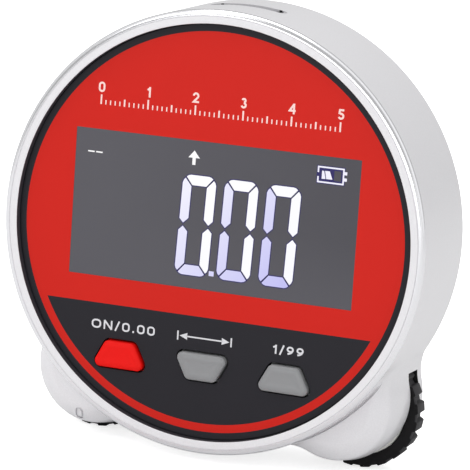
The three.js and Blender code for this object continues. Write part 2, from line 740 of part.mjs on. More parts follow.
const contactStrip = () => block(stripMargin - glassLeft, glassLeft - stripMargin, glassBack, boardFront,
  glassFoot, glassFoot + stripWidth);

function buttonCap({ x, z, wideOnTop }) {
  const top = -buttonProud;
  return join([
    loft([
      { depth: top, points: buttonOutline(x, z, wideOnTop, -buttonCrown) },
      { depth: top + buttonCrown, points: buttonOutline(x, z, wideOnTop, 0) },
      { depth: flangeFront, points: buttonOutline(x, z, wideOnTop, 0) },
    ]),
    slab(buttonOutline(x, z, wideOnTop, buttonFlange), flangeFront, flangeBack),
  ]);
}

function switchBase({ x, z }) {
  const half = switchSize / 2;
  const front = boardFront - switchBodyHeight;
  const guideEnd = front + plungerGuide + buttonTravel + slideFit;
  return cut(block(x - half, x + half, front, boardFront, z - half, z + half), [
    disc(x, z, plungerRadius + slideFit, front - cutOverrun, guideEnd),
  ]);
}

const switchPlunger = ({ x, z }) =>
  disc(x, z, plungerRadius, flangeBack, boardFront - switchBodyHeight + plungerGuide);

// Boards

function mainBoard() {
  const right = [[boardHalfFoot, -boardFoot], [boardHalfFoot, -boardWaist], [boardHalfWidth, -boardWaist],
    [boardHalfWidth, boardShoulder], [boardHalfHead, boardTop]].map(([x, z]) => new THREE.Vector2(x, z));
  const left = right.map((p) => new THREE.Vector2(-p.x, p.y)).reverse();
  return slab([...right, ...left], boardFront, boardBack,
    boardPosts.map(([x, z]) => circle(x, z, boardScrewRadius + slideFit)));
}

const controllerChip = () => block(-chipSize / 2, chipSize / 2, boardBack, boardBack + chipThickness,
  -chipDrop - chipSize / 2, -chipDrop + chipSize / 2);

const crystalCan = () => block(crystalX, crystalX + crystalLength, boardBack, boardBack + crystalRadius * 2,
  -crystalDrop - crystalRadius, crystalRadius - crystalDrop);

// Screws run along Y, with the head to the rear. The seat is the face that the head rests on.
function screw(x, z, seat, radius, length, headRadius, head) {
  const reach = headRadius * crossShare;
  const floor = seat + head - crossDepth;
  const open = seat + head + cutOverrun;
  const half = crossWidth / 2;
  return cut(join([disc(x, z, radius, seat - length, seat), disc(x, z, headRadius, seat, seat + head)]), [
    block(x - reach, x + reach, floor, open, z - half, z + half),
    block(x - half, x + half, floor, open, z - reach, z + reach),
  ]);
}

const boardScrew = ([x, z]) =>
  screw(x, z, boardBack, boardScrewRadius, boardScrewLength, boardScrewHeadRadius, boardScrewHead);

const coverScrew = ([x, z]) =>
  screw(x, z, coverScrewSeat, coverScrewRadius, coverScrewLength, coverScrewHeadRadius, coverScrewHead);

// Wheels

const axle = (side) => disc(side * axleX, axleZ, axleRadius, axleFront, axleBack);

// A gap between two lugs is at the very bottom.
function tyre(side) {
  const outline = toothed(side * axleX, axleZ, tyreRadius - lugHeight, tyreRadius, lugCount, lugRootShare,
    lugTipShare, Math.PI / lugCount - Math.PI / 2);
  return slab(outline, tyreFront, tyreBack, [circle(side * axleX, axleZ, rimRadius + seatFit)]);
}

function hub(side) {
  const bore = axleRadius + runFit;
  const rimInner = rimRadius - hubRim;
  const webFront = wheelDepth - hubWeb / 2;
  const webBack = wheelDepth + hubWeb / 2;
  return turned([
    [bore, hubFront], [hubCollarRadius, hubFront], [hubCollarRadius, webFront], [rimInner, webFront],
    [rimInner, tyreFront], [rimRadius, tyreFront], [rimRadius, tyreBack], [rimInner, tyreBack],
    [rimInner, webBack], [hubCollarRadius, webBack], [hubCollarRadius, gearBack], [bore, gearBack],
    [bore, hubFront],
  ], side * axleX, axleZ);
}

function driveGear() {
  const outline = toothed(-axleX, axleZ, gearPitch - gearDedendum, gearTip, gearTeeth, toothRootShare,
    toothTipShare, pinionAngle);
  return slab(outline, gearFront, gearBack, [circle(-axleX, axleZ, gearBoreRadius)]);
}

function measuringHub() {
  return join([hub(-1), driveGear()]);
}

function encoderPinion() {
  const pitch = gearModule * pinionTeeth / 2;
  const halfTooth = Math.PI / pinionTeeth;
  const outline = toothed(pinionX, pinionZ, pitch - gearDedendum, pitch + gearAddendum, pinionTeeth,
    toothRootShare, toothTipShare, pinionAngle + Math.PI + halfTooth);
  const teeth = slab(outline, gearFront, gearBack);
  const collar = disc(pinionX, pinionZ, discCollarRadius, gearFront, discBack + discCollarLength);
  return cut(join([teeth, collar]), [
    disc(pinionX, pinionZ, pinRadius + runFit, gearFront - cutOverrun, pinBossEnd),
  ]);
}

function encoderDisc() {
  const outline = toothed(pinionX, pinionZ, discRadius - discSlotDepth, discRadius, discSlots, discSlotShare,
    discSlotShare, 0);
  return slab(outline, discFront, discBack, [circle(pinionX, pinionZ, discCollarRadius + seatFit)]);
}

const encoderPin = () => disc(pinionX, pinionZ, pinRadius, gearFront, pinBossEnd + pinSeat);

// Sensor that looks at the slots of the encoder disc

function slotSensor() {
  const foot = pinionZ - sensorHeight / 2;
  const top = pinionZ + sensorHeight / 2;
  return cut(block(sensorLeft, sensorRight, sensorFront, sensorBoardFront, foot, top), [
    block(sensorLeft - cutOverrun, sensorLeft + sensorReach + sensorAirGap, discFront - sensorAirGap,
      discBack + sensorAirGap, foot - cutOverrun, top + cutOverrun),
  ]);
}

const sensorScrewX = sensorLeft + sensorBoardWidth - sensorPostRadius;
const sensorPostPlaces = [
  [sensorScrewX, pinionZ],
  [sensorLeft + sensorPostRadius, pinionZ + sensorBoardHeight / 2 - sensorPostRadius],
];
const sensorScrewEnd = sensorBoardBack + coverWall;

function sensorBoard() {
  const half = sensorBoardHeight / 2;
  const outline = box(sensorLeft, sensorLeft + sensorBoardWidth, pinionZ - half, pinionZ + half);
  return slab(outline, sensorBoardFront, sensorBoardBack,
    [circle(sensorScrewX, pinionZ, boardScrewRadius + slideFit)]);
}

function sensorScrew() {
  const headRadius = sensorPostRadius - slideFit;
  const floor = sensorBoardFront - boardScrewHead;
  const reach = headRadius * crossShare;
  const half = crossWidth / 2;
  return cut(join([
    disc(sensorScrewX, pinionZ, headRadius, floor, sensorBoardFront),
    disc(sensorScrewX, pinionZ, boardScrewRadius, sensorBoardFront, sensorScrewEnd),
  ]), [
    block(sensorScrewX - reach, sensorScrewX + reach, floor - cutOverrun, floor + crossDepth,
      pinionZ - half, pinionZ + half),
    block(sensorScrewX - half, sensorScrewX + half, floor - cutOverrun, floor + crossDepth,
      pinionZ - reach, pinionZ + reach),
  ]);
}

// Batteries. The side says at which end the spring sits: -1 left, 1 right.
const cells = [
  { name: 'upper', spring: -1, z: bayRise + cellOffset },
  { name: 'lower', spring: 1, z: bayRise - cellOffset },
];

// A body turned round X: radii at places along X that rise.
function alongX(profile, z) {
  const points = profile.map(([radius, x]) => new THREE.Vector2(radius, x));
  const widest = Math.max(...profile.map(([radius]) => radius));
  const geometry = new THREE.LatheGeometry(points, circleSteps(widest));
  return solidOf(geometry.rotateZ(-Math.PI / 2).translate(0, cellDepth, z));
}

function cell({ spring, z }) {
  const springEnd = spring * (bayHalfLength - contactThickness - springLength);
  const buttonEnd = -spring * (bayHalfLength - contactThickness);
  const shoulder = buttonEnd + spring * cellButton;
  const profile = [
    [0, springEnd], [cellRadius, springEnd], [cellRadius, shoulder], [cellButtonRadius, shoulder],
    [cellButtonRadius, buttonEnd], [0, buttonEnd],
  ];
  return alongX(spring < 0 ? profile : profile.reverse(), z);
}

function batterySpring({ spring, z }) {
  const wall = spring * (bayHalfLength - contactThickness);
  const wire = springWire / 2;
  const run = springLength - springWire;
  const total = springTurns * springSteps;
  const ring = (t) => {
    const angle = 2 * Math.PI * springTurns * t;
    const radius = springRadius + (springTopRadius - springRadius) * t - wire;
    const along = wall - spring * (wire + run * t);
    return Array.from({ length: springSides }, (_, i) => {
      const turn = 2 * Math.PI * i / springSides;
      const reach = radius + wire * Math.cos(turn);
      const out = [cellDepth + reach * Math.cos(angle), z + reach * Math.sin(angle)];
      return [along + wire * Math.sin(turn), ...out];
    });
  };
  const rings = Array.from({ length: total + 1 }, (_, i) => ring(i / total));
  const index = [];
  for (let s = 0; s < total; s++) {
    for (let i = 0; i < springSides; i++) {
      const a = s * springSides + i;
      const b = s * springSides + (i + 1) % springSides;
      index.push(a, a + springSides, b, b, a + springSides, b + springSides);
    }
  }
  const last = total * springSides;
  for (let i = 1; i < springSides - 1; i++) {
    index.push(0, i, i + 1);
    index.push(last, last + i + 1, last + i);
  }
  const geometry = new THREE.BufferGeometry();
  geometry.setAttribute('position', new THREE.Float32BufferAttribute(rings.flat(2), 3));
  geometry.setIndex(index);
  return solidOf(geometry);
}

function endContact(side, foot, top) {
  const wall = side * bayHalfLength;
  const inner = wall - side * contactThickness;
  return block(Math.min(wall, inner), Math.max(wall, inner), cellDepth - contactWidth / 2,
    cellDepth + contactWidth / 2, foot, top);
}

const contactAt = (side, { z }) => endContact(side, z - contactWidth / 2, z + contactWidth / 2);

const bridgeContact = () => endContact(1, cells[1].z - contactWidth / 2, cells[0].z + contactWidth / 2);

// Lid

function batteryLid() {
  const tongueBack = lidFront + lidTongueThickness;
  const grips = Array.from({ length: gripCount }, (_, i) => {
    const foot = gripDrop - lidFoot + gripPitch * (i + 1);
    return block(-gripWidth / 2, gripWidth / 2, coverBack - gripDepth, coverBack + cutOverrun,
      foot, foot + gripThickness);
  });
  return cut(join([
    slab(lidOutline(lidHalfWidth, 0), lidFront, coverBack),
    slab(lidOutline(lidHalfWidth + lidTongue, 0), lidFront, tongueBack),
  ]), grips);
}

// Assembly

const root = new THREE.Group();
root.position.set(0, -(lip + coverBack) / 2, dialHeight);

function place(name, solid, material) {
  const mesh = new THREE.Mesh(geometryOf(solid), material);
  mesh.name = name;
  root.add(mesh);
}

place('front_housing', frontHousing(), silverPaint);
place('rear_cover', rearCover(), coverPlastic);
place('face_label', labelPart(), labelFilm);
place('display_window', displayWindow(), clearPlastic);
place('display_glass', displayGlassPart(), displayGlass);
place('backlight_panel', backlight(), lightGuide);
place('display_contact_strip', contactStrip(), blackRubber);
place('main_board', mainBoard(), boardResin);
place('controller_chip', controllerChip(), blackPlastic);
place('clock_crystal', crystalCan(), nickel);
boardPosts.forEach((post, i) => place('board_screw_' + (i + 1), boardScrew(post), brightSteel));
coverScrews.forEach((post, i) => place('cover_screw_' + (i + 1), coverScrew(post), brightSteel));

for (const button of buttons) {
  place('button_' + button.name, buttonCap(button), button.material);
  place('switch_base_' + button.name, switchBase(button), blackPlastic);
  place('switch_plunger_' + button.name, switchPlunger(button), whitePlastic);
}

place('measuring_axle', axle(-1), brightSteel);
place('measuring_hub', measuringHub(), whitePlastic);
place('measuring_tyre', tyre(-1), blackRubber);
place('support_axle', axle(1), brightSteel);
place('support_hub', hub(1), whitePlastic);
place('support_tyre', tyre(1), blackRubber);
place('encoder_pin', encoderPin(), brightSteel);
place('encoder_pinion', encoderPinion(), whitePlastic);
place('encoder_disc', encoderDisc(), blackPlastic);
place('slot_sensor', slotSensor(), blackPlastic);
place('sensor_board', sensorBoard(), boardResin);
place('sensor_screw', sensorScrew(), brightSteel);

for (const each of cells) {
  place('battery_' + each.name, cell(each), cellJacket);
  place('battery_spring_' + each.name, batterySpring(each), nickel);
}
place('contact_upper_left', contactAt(-1, cells[0]), nickel);
place('contact_lower_left', contactAt(-1, cells[1]), nickel);
place('contact_bridge_right', bridgeContact(), nickel);
place('battery_lid', batteryLid(), coverPlastic);

export default root;
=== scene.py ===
# Looks of the digital rolling ruler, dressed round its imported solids.
# Lengths are in millimetres, and at() turns a place on the ruler into metres.

import math

import bmesh
import bpy
from mathutils import Matrix, Vector

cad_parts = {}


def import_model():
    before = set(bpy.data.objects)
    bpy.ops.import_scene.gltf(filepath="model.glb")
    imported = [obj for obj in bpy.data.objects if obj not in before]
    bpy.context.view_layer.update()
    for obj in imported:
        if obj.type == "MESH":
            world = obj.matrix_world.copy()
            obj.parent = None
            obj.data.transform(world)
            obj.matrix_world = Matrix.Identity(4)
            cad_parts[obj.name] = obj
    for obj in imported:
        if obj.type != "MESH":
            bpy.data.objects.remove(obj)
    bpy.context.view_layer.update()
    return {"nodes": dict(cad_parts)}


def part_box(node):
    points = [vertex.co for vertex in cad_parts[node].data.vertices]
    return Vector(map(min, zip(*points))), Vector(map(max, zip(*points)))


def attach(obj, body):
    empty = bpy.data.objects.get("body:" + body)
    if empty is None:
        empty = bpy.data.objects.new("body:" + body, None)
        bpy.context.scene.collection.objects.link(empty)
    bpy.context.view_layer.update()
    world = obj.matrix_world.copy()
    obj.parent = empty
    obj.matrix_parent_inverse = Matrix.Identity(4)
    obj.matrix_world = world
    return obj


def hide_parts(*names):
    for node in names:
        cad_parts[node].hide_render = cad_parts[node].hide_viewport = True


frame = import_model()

MM = 0.001
TURN = 2 * math.pi
QUARTER = math.pi / 2

# The middle of the label's front is the zero of every place below.
label_low, label_high = (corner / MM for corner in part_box("face_label"))
FACE = Vector(((label_low.x + label_high.x) / 2, label_low.y, (label_low.z + label_high.z) / 2))


def at(x, depth, height):
    """A place right of, behind and above the middle of the label's front, in metres."""
    return (FACE + Vector((x, depth, height))) * MM


def span(node):
    """A node's lowest and highest corner, as places from the middle of the label's front."""
    low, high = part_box(node)
    return low / MM - FACE, high / MM - FACE


# How far a cut runs past a surface, and the steps of a fine circle
OVERRUN = 1.0
FINE = 256

# Sizes of the round case and its bulges
housing_low, housing_high = span("front_housing")
CASE_RADIUS = housing_high.z
CASE_DRAFT = 0.3
CASE_WALL = 2.0
LIP = housing_low.y
CASE_BACK = housing_high.y
COVER_EDGE = 2.0
COVER_FRONT = CASE_BACK - COVER_EDGE
BEZEL_OPENING = 37.2
BEZEL_FLAT = 1.3
BEZEL_ROUND = 0.9
BEZEL_INNER_ROUND = 0.16
BEZEL_GROOVE = 0.2
BEZEL_GROOVE_DEPTH = 0.16
BEZEL_GROOVE_SLANT = 0.06
FILM_EDGE_ROUND = 0.032
FRONT_WALL = 0.5
WALL_BACK = 2.3
CASE_INNER = CASE_RADIUS - CASE_DRAFT - CASE_WALL
tyre_low, tyre_high = span("support_tyre")
AXLE_X = (tyre_low.x + tyre_high.x) / 2
AXLE_Z = (tyre_low.z + tyre_high.z) / 2
AXLES = [(-AXLE_X, AXLE_Z), (AXLE_X, AXLE_Z)]
TYRE_RADIUS = 10.63
TYRE_FRONT = tyre_low.y
TYRE_BACK = tyre_high.y + 0.4
TYRE_EDGE = 0.22
TYRE_FLANGE = 0.25
TYRE_FLANGE_WIDTH = 0.55
LUG_HEIGHT = 0.72
LUG_SINK = LUG_HEIGHT * 0.6
LUG_COUNT = 20
LUG_ROOT_WIDTH = 2.5
LUG_TIP_WIDTH = 1.75
LUG_TURNS = {-1: math.radians(2.9), 1: math.radians(1.3)}
LUG_EDGE = 0.16
RIM_RADIUS = 8.28
SLOT_PLAY = 0.3
SLOT_BACK = COVER_FRONT - 0.15
SLOT_RADIUS = 11.45
LOBE_RADIUS = 11.5
LOBE_DRAFT = 0.2
LOBE_X = AXLE_X - 2.3
LOBE_Z = AXLE_Z + 2.75
LOBE_FACE = 3.0
LOBE_ROUND_DEPTH = 5.8
LOBE_ROUND_WIDTH = 4.4
LOBE_SLOPE_START = 1.2
LOBE_RIDGE_INSET = 0.74
LOBE_RIDGE_SHARE = 0.35
LOBE_RIDGE_ROUND = 0.6
LOBE_FILLET = 9.0
LOBE_SINK = 0.15
CREASE = 0.42
CREASE_DEPTH = 0.55
LOBE_STRAIGHT = LOBE_FACE + LOBE_ROUND_DEPTH
LOBE_INNER = LOBE_RADIUS - LOBE_DRAFT - CASE_WALL
START_MARK_WIDTH = 1.6
START_MARK_HEIGHT = 2.4
START_MARK_ROUND_SHARE = 0.95
START_MARK_X = -24.85
START_MARK_Z = -36.92
START_MARK_TURN = math.radians(12)
START_MARK_LINE = 0.4
START_MARK_DEPTH = 0.3
LANYARD_X = 0.55
LANYARD_LENGTH = 14.4
LANYARD_WIDTH = 2.8
LANYARD_FLOOR = CASE_RADIUS - CASE_DRAFT - 0.6
LANYARD_DEPTH = 10.0
LANYARD_HOLE = 0.85
LANYARD_HOLE_DEPTH = LANYARD_DEPTH + 0.6
LANYARD_HOLE_SPACING = 11.1
LANYARD_HOLE_RISE = 0.45
LANYARD_TUNNEL = 1.5
LANYARD_PAD_MARGIN = 1.6
LANYARD_PAD_THICKNESS = 3.4

# Sizes of the axle bosses, the board's posts, and the posts and bores of the cover screws
BOSS_RADIUS = 2.4
BOSS_BACK = 9.4
REAR_BOSS_FRONT = 19.8
BOARD_POST_RADIUS = 2.3
BOARD_POST_BACK = 7.6
POST_ROOT = WALL_BACK - 0.9
SCREW_POST_RADIUS = 2.5
SCREW_POST_BACK = COVER_FRONT - 0.3
PILLAR_RADIUS = 3.2
WELL_RADIUS = 2.2
SHAFT_RADIUS = 1.08
SHAFT_BACK = CASE_BACK + 0.5
BOARD_POSTS = [(-15, 22.6), (15, 22.6), (-7, -16.8), (7, -16.8)]
COVER_SCREWS = [(-31.2, 3), (31.2, 3), (-5.5, -31.5), (5.5, -31.5)]

# Sizes of the rear cover, the lid, the battery bay and the cover screws
COVER_BACK = span("rear_cover")[1].y
COVER_WALL = 1.8
COVER_PLAY = 0.2
COVER_STEP = 1.0
COVER_ROUND = 1.8
COVER_ROUND_DEPTH = 2.4
lid_low, lid_high = span("battery_lid")
LID_TONGUE = 0.8
LID_HALF = lid_high.x - LID_TONGUE
LID_FRONT = lid_low.y
LID_TONGUE_BACK = LID_FRONT + 0.7
LID_FOOT = lid_low.z
LID_TOP_RADIUS = CASE_INNER - COVER_PLAY - COVER_STEP - COVER_ROUND - 0.3
LID_EDGE = 0.25
LID_EDGE_START = LID_EDGE * 0.3
LID_PLAY = 0.15
LID_BED = LID_FRONT - LID_PLAY
LID_BED_WALL = 1.5
LID_GROOVE_BACK = LID_FRONT + 0.85
LID_ARROW = [(-3, 12), (3, 12), (0, 16)]
LID_ARROW_DEPTH = 0.25
GRIP_COUNT = 5
GRIP_START = LID_FOOT + 1
GRIP_WIDTH = 16.0
GRIP_PITCH = 1.8
GRIP_DEPTH = 0.4
GRIP_THICKNESS = 0.8
BAY_HALF = 24.75
BAY_RISE = 8.0
BAY_HALF_HEIGHT = 11.2
BAY_WALL = 1.2
BAY_FRONT = LID_BED - BAY_HALF_HEIGHT
SCREW_RADIUS = 1.0
SCREW_LENGTH = 8
SCREW_TIP_RADIUS = 0.5
SCREW_TIP_LENGTH = 0.8
SCREW_HEAD_RADIUS = 1.9
SCREW_HEAD = 1.4
SCREW_ROUND = 1.1
SCREW_ROUND_DEPTH = 0.9
SCREW_CROSS_FLOOR = 0.7
SCREW_CROSS_HALF = 1.25
SCREW_CROSS_HALF_WIDTH = 0.3

# Sizes of the face, and where its shades run
LABEL_RADIUS = label_high.x - FACE.x
LABEL_THICKNESS = label_high.y - label_low.y
LABEL_EDGE = 0.08
RED_RADIUS = 35.8
FIELD_RADIUS = 34.36
FIELD_TOP = -15.14
WINDOW_HALF = 26.9
WINDOW_HALF_HEIGHT = 13.25
WINDOW_RISE = 2.98
WINDOW_SINK = 0.04
WINDOW_FIT = 0.01
WINDOW_HOLE_PLAY = 0.15
WINDOW_SHADE_X = (-20.0, 25.0)
WINDOW_SHADE_Z = (-11.0, 2.0)
GLOW_X = (-7.0, 16.0)
GLOW_Z = (8.0, -8.0)
GLOW_SHARES = (0.6, 0.4)
BUTTONS = [("left", -15.98, -24.1, False), ("middle", -0.16, -24.14, True), ("right", 15.5, -24.15, False)]
BUTTON_WIDE = 10.6
BUTTON_NARROW = 5.5
BUTTON_HEIGHT = 4.9
BUTTON_CORNER = 1.05
BUTTON_LEAST_CORNER = BUTTON_CORNER * 0.15
BUTTON_CROWN = 1.1
BUTTON_CROWN_DEPTH = 0.5
BUTTON_DISH = 0.08
BUTTON_DISH_RINGS = [(1.76, 1), (1.375, 0.5)]
BUTTON_FLANGE = 0.9
BUTTON_FLANGE_WIDTH = 1.1
BUTTON_FLANGE_OVERLAP = 0.1
BUTTON_HOLE_PLAY = 0.36
PRINT_DEPTH = -0.012
PRINT_THICKNESS = 0.03


# Finishes

COLOUR, PLACE, NUMBER = "NodeSocketColor", "NodeSocketVector", "NodeSocketFloat"


def tint(red, green, blue):
    """A colour as it looks, from 0 to 255, made linear for the shaders."""
    parts = [part / 255 for part in (red, green, blue)]
    linear = [p / 12.92 if p <= 0.04045 else ((p + 0.055) / 1.055) ** 2.4 for p in parts]
    return (*linear, 1.0)


def feed(tree, socket, value):
    """Give a socket a plain value, or link it to another node's output."""
    if isinstance(value, bpy.types.NodeSocket):
        tree.links.new(value, socket)
    else:
        socket.default_value = value


def add_node(tree, kind, values=(), **settings):
    """A node with its settings, its sockets fed in their order or by their names."""
    made = tree.nodes.new(kind)
    for name, value in settings.items():
        setattr(made, name, value)
    for key, value in values.items() if isinstance(values, dict) else enumerate(values):
        feed(tree, made.inputs[key], value)
    return made


def reckon(tree, operation, *values):
    """What an operation makes of its values."""
    return add_node(tree, "ShaderNodeMath", values, operation=operation).outputs[0]


def ramp(tree, value, start, end, low=0.0, high=1.0):
    """A value brought from its range between a start and an end to one from low to high."""
    return add_node(tree, "ShaderNodeMapRange", (value, start, end, low, high)).outputs["Result"]


def mixed(tree, share, first, second):
    """The first colour where the share is 0, and the second where it is 1."""
    values = {"Factor": share, "A": first, "B": second}
    return add_node(tree, "ShaderNodeMix", values, data_type="RGBA").outputs["Result"]


def new_group(name, scale, inputs, output, kind):
    """A node group over a surface, with its inner ends. Other inputs are name, kind and first value."""
    group = bpy.data.node_groups.new(name, "ShaderNodeTree")
    for label, input_kind, value in [*inputs, ("Place", PLACE, None), ("Scale", NUMBER, scale)]:
        socket = group.interface.new_socket(label, in_out="INPUT", socket_type=input_kind)
        if value is not None:
            socket.default_value = value
    group.interface.new_socket(output, in_out="OUTPUT", socket_type=kind)
    source = add_node(group, "NodeGroupInput").outputs
    return group, source, add_node(group, "NodeGroupOutput").inputs[output]


def speck_noise(group, source, detail):
    """Noise over the surface inside a group, from 0 to 1."""
    values = {"Vector": source["Place"], "Scale": source["Scale"], "Detail": detail}
    return add_node(group, "ShaderNodeTexNoise", values).outputs["Fac"]


def spread_noise(group, source, detail, middle):
    """Noise spread round a middle value by the group's Amount."""
    spread = reckon(group, "SUBTRACT", speck_noise(group, source, detail), 0.5)
    return reckon(group, "MULTIPLY_ADD", spread, source["Amount"], middle)


def make_tone_group():
    """Slight light and dark cloudiness of a moulded or painted colour."""
    inputs = [("Colour", COLOUR, None), ("Amount", NUMBER, 0.1)]
    group, source, result = new_group("cloudy_colour", 100.0, inputs, "Colour", COLOUR)
    values = {"Color": source["Colour"], "Value": spread_noise(group, source, 3.0, 1.0)}
    feed(group, result, add_node(group, "ShaderNodeHueSaturation", values).outputs["Color"])
    return group


def make_gloss_group():
    """Uneven gloss: a roughness that varies over the surface."""
    inputs = [("Roughness", NUMBER, 0.4), ("Amount", NUMBER, 0.1)]
    group, source, result = new_group("uneven_gloss", 100.0, inputs, "Roughness", NUMBER)
    feed(group, result, spread_noise(group, source, 2.0, source["Roughness"]))
    return group


def make_grain_group():
    """Height of a fine moulded grain."""
    group, source, result = new_group("fine_grain", 1000.0, [], "Height", NUMBER)
    feed(group, result, speck_noise(group, source, 4.0))
    return group


CLOUDY = make_tone_group()
UNEVEN = make_gloss_group()
GRAIN = make_grain_group()


class Finish:
    """A material with one shader, whose colour, gloss and grain come from nodes."""

    def __init__(self, name, roughness, metallic=0.0, specular=0.5, coat=0.0, coat_roughness=0.1):
        self.material = bpy.data.materials.new(name)
        self.material.use_nodes = True
        self.tree = self.material.node_tree
        self.roughness = roughness
        self.place = add_node(self.tree, "ShaderNodeTexCoord").outputs["Object"]
        self.give("Metallic", metallic).give("Specular IOR Level", specular)
        self.give("Coat Weight", coat).give("Coat Roughness", coat_roughness)

    def give(self, socket, value):
        """Feed one of the shader's sockets."""
        feed(self.tree, self.tree.nodes["Principled BSDF"].inputs[socket], value)
        return self

    def effect(self, group, **values):
        """What a shared effect puts out for this finish."""
        values["Place"] = self.place
        return add_node(self.tree, "ShaderNodeGroup", values, node_tree=group).outputs[0]

    def colour(self, colour, scale, amount):
        """A slightly cloudy colour."""
        return self.give("Base Color", self.effect(CLOUDY, Colour=colour, Scale=scale, Amount=amount))

    def gloss(self, scale, amount):
        """A slightly uneven gloss."""
        uneven = self.effect(UNEVEN, Roughness=self.roughness, Scale=scale, Amount=amount)
        return self.give("Roughness", uneven)

    def grain(self, scale, height):
        """A fine grain, its height in millimetres."""
        values = {"Strength": 1.0, "Distance": height * MM, "Height": self.effect(GRAIN, Scale=scale)}
        return self.give("Normal", add_node(self.tree, "ShaderNodeBump", values).outputs["Normal"])

    def face_place(self):
        """Places right of and above the middle of the face, in millimetres."""
        values = {"Vector": self.place, "Location": -FACE, "Scale": (1 / MM, 1 / MM, 1 / MM)}
        middle = add_node(self.tree, "ShaderNodeMapping", values, vector_type="POINT")
        parts = add_node(self.tree, "ShaderNodeSeparateXYZ", (middle.outputs[0],)).outputs
        return parts["X"], parts["Z"]


def plain(name, colour, roughness, scale=300.0, tone=0.05, uneven=0.1, grain=0.02, grain_scale=2500.0,
          **more):
    """A finish of one colour with its own cloudiness, uneven gloss and grain."""
    made = Finish(name, roughness, **more)
    made.colour(tint(*colour), scale, tone).gloss(scale, uneven).grain(grain_scale, grain)
    return made.material


def label_finish():
    """Printed film: red disc, black rim and the dark field behind the buttons."""
    made = Finish("label_print", 0.36, specular=0.12)
    tree = made.tree
    across, up = made.face_place()
    squares = [reckon(tree, "POWER", distance, 2.0) for distance in (across, up)]
    radius = reckon(tree, "SQRT", reckon(tree, "ADD", *squares))
    inside = reckon(tree, "LESS_THAN", radius, RED_RADIUS)
    above = reckon(tree, "GREATER_THAN", up, FIELD_TOP)
    ring = reckon(tree, "GREATER_THAN", radius, FIELD_RADIUS)
    red = reckon(tree, "MULTIPLY", inside, reckon(tree, "MAXIMUM", above, ring))
    made.colour(mixed(tree, red, tint(40, 39, 44), tint(204, 34, 25)), 90.0, 0.05)
    made.gloss(400.0, 0.08).grain(1800.0, 0.006)
    return made.material


def window_finish():
    """The grey display behind its window, a little darker to the upper right."""
    made = Finish("window_film", 0.16, specular=0.2)
    tree = made.tree
    across, up = made.face_place()
    share = reckon(tree, "MULTIPLY", ramp(tree, across, *WINDOW_SHADE_X), ramp(tree, up, *WINDOW_SHADE_Z))
    made.colour(mixed(tree, share, tint(88, 87, 93), tint(79, 78, 84)), 60.0, 0.05)
    made.gloss(60.0, 0.05).grain(2500.0, 0.002)
    return made.material


def glow(name, pale, deep):
    """A lit part of the display, deeper in colour to the right and the foot."""
    made = Finish(name, 0.4, specular=0.1)
    tree = made.tree
    made.colour(tint(8, 8, 10), 300.0, 0.05).gloss(300.0, 0.1)
    across, up = made.face_place()
    rightward = reckon(tree, "MULTIPLY", ramp(tree, across, *GLOW_X), GLOW_SHARES[0])
    share = reckon(tree, "MULTIPLY_ADD", ramp(tree, up, *GLOW_Z), GLOW_SHARES[1], rightward)
    lit = made.effect(CLOUDY, Colour=mixed(tree, share, tint(*pale), tint(*deep)), Scale=260.0, Amount=0.03)
    return made.give("Emission Color", lit).give("Emission Strength", 1.0).material


silver_paint = plain("silver_paint", (226, 225, 228), 0.34, scale=4200.0, tone=0.16, uneven=0.12,
                     grain=0.008, grain_scale=5200.0, specular=0.6, coat=0.25, coat_roughness=0.12)
# A brighter metallic finish for the bezel's outer round: its metal gloss is real, its lighter colour is a
# painted highlight along that edge.
edge_metal_highlight = plain("edge_metal_highlight", (238, 238, 241), 0.2, scale=4000.0, tone=0.02, uneven=0.05, grain=0.002,
                   metallic=1.0)
film_edge = plain("film_edge", (66, 64, 70), 0.5, specular=0.1)
# A darker paint for the lanyard recess: painted shade in the recess.
recess_painted_shade = plain("recess_painted_shade", (188, 187, 190), 0.45, scale=5500.0, tone=0.05, grain=0.01)
case_inside = plain("case_inside", (20, 20, 22), 0.6, specular=0.3)
cover_plastic = plain("cover_plastic", (200, 201, 205), 0.5, grain=0.03, grain_scale=2200.0)
label_print = label_finish()
window_film = window_finish()
scale_ink = plain("scale_ink", (248, 214, 208), 0.4)
button_ink = plain("button_ink", (214, 214, 218), 0.4)
lit_white = glow("lit_white", (255, 255, 255), (250, 250, 255))
lit_lavender = glow("lit_lavender", (244, 243, 255), (192, 190, 244))
segment_rim = plain("segment_rim", (50, 46, 100), 0.3, specular=0.15)
lit_pale = glow("lit_pale", (248, 247, 255), (240, 238, 255))
red_rubber = plain("red_rubber", (232, 10, 3), 0.5, tone=0.04, grain=0.015, specular=0.18)
grey_rubber = plain("grey_rubber", (137, 138, 140), 0.4, tone=0.06, grain=0.02, specular=0.4,
                    coat=0.3, coat_roughness=0.25)
tyre_rubber = plain("tyre_rubber", (44, 43, 46), 0.6, scale=1500.0, tone=0.3, grain=0.05, grain_scale=3500.0,
                    specular=0.35)
# A darker copy of the tyre rubber for the faces that look to the front or back: painted shade on the tyre's
# sides.
tyre_side_shade = plain("tyre_side_shade", (20, 19, 21), 0.7, scale=2500.0, tone=0.5, grain=0.05, grain_scale=3500.0,
                  specular=0.2)
black_plastic = plain("black_plastic", (30, 30, 32), 0.5)
white_plastic = plain("white_plastic", (232, 232, 226), 0.45)
contact_rubber = plain("contact_rubber", (34, 34, 36), 0.85)
board_resin = plain("board_resin", (30, 105, 60), 0.5, scale=700.0, tone=0.25)
bright_steel = plain("bright_steel", (186, 188, 192), 0.3, metallic=1.0, grain=0.004)
nickel = plain("nickel", (196, 193, 182), 0.32, metallic=1.0, grain=0.004)
cell_jacket = plain("cell_jacket", (46, 106, 172), 0.32, metallic=0.3, coat=0.4)
cell_band = plain("cell_band", (28, 29, 34), 0.34, coat=0.4)
light_guide = plain("light_guide", (242, 244, 255), 0.3)
display_glass = plain("display_glass", (44, 44, 52), 0.08)


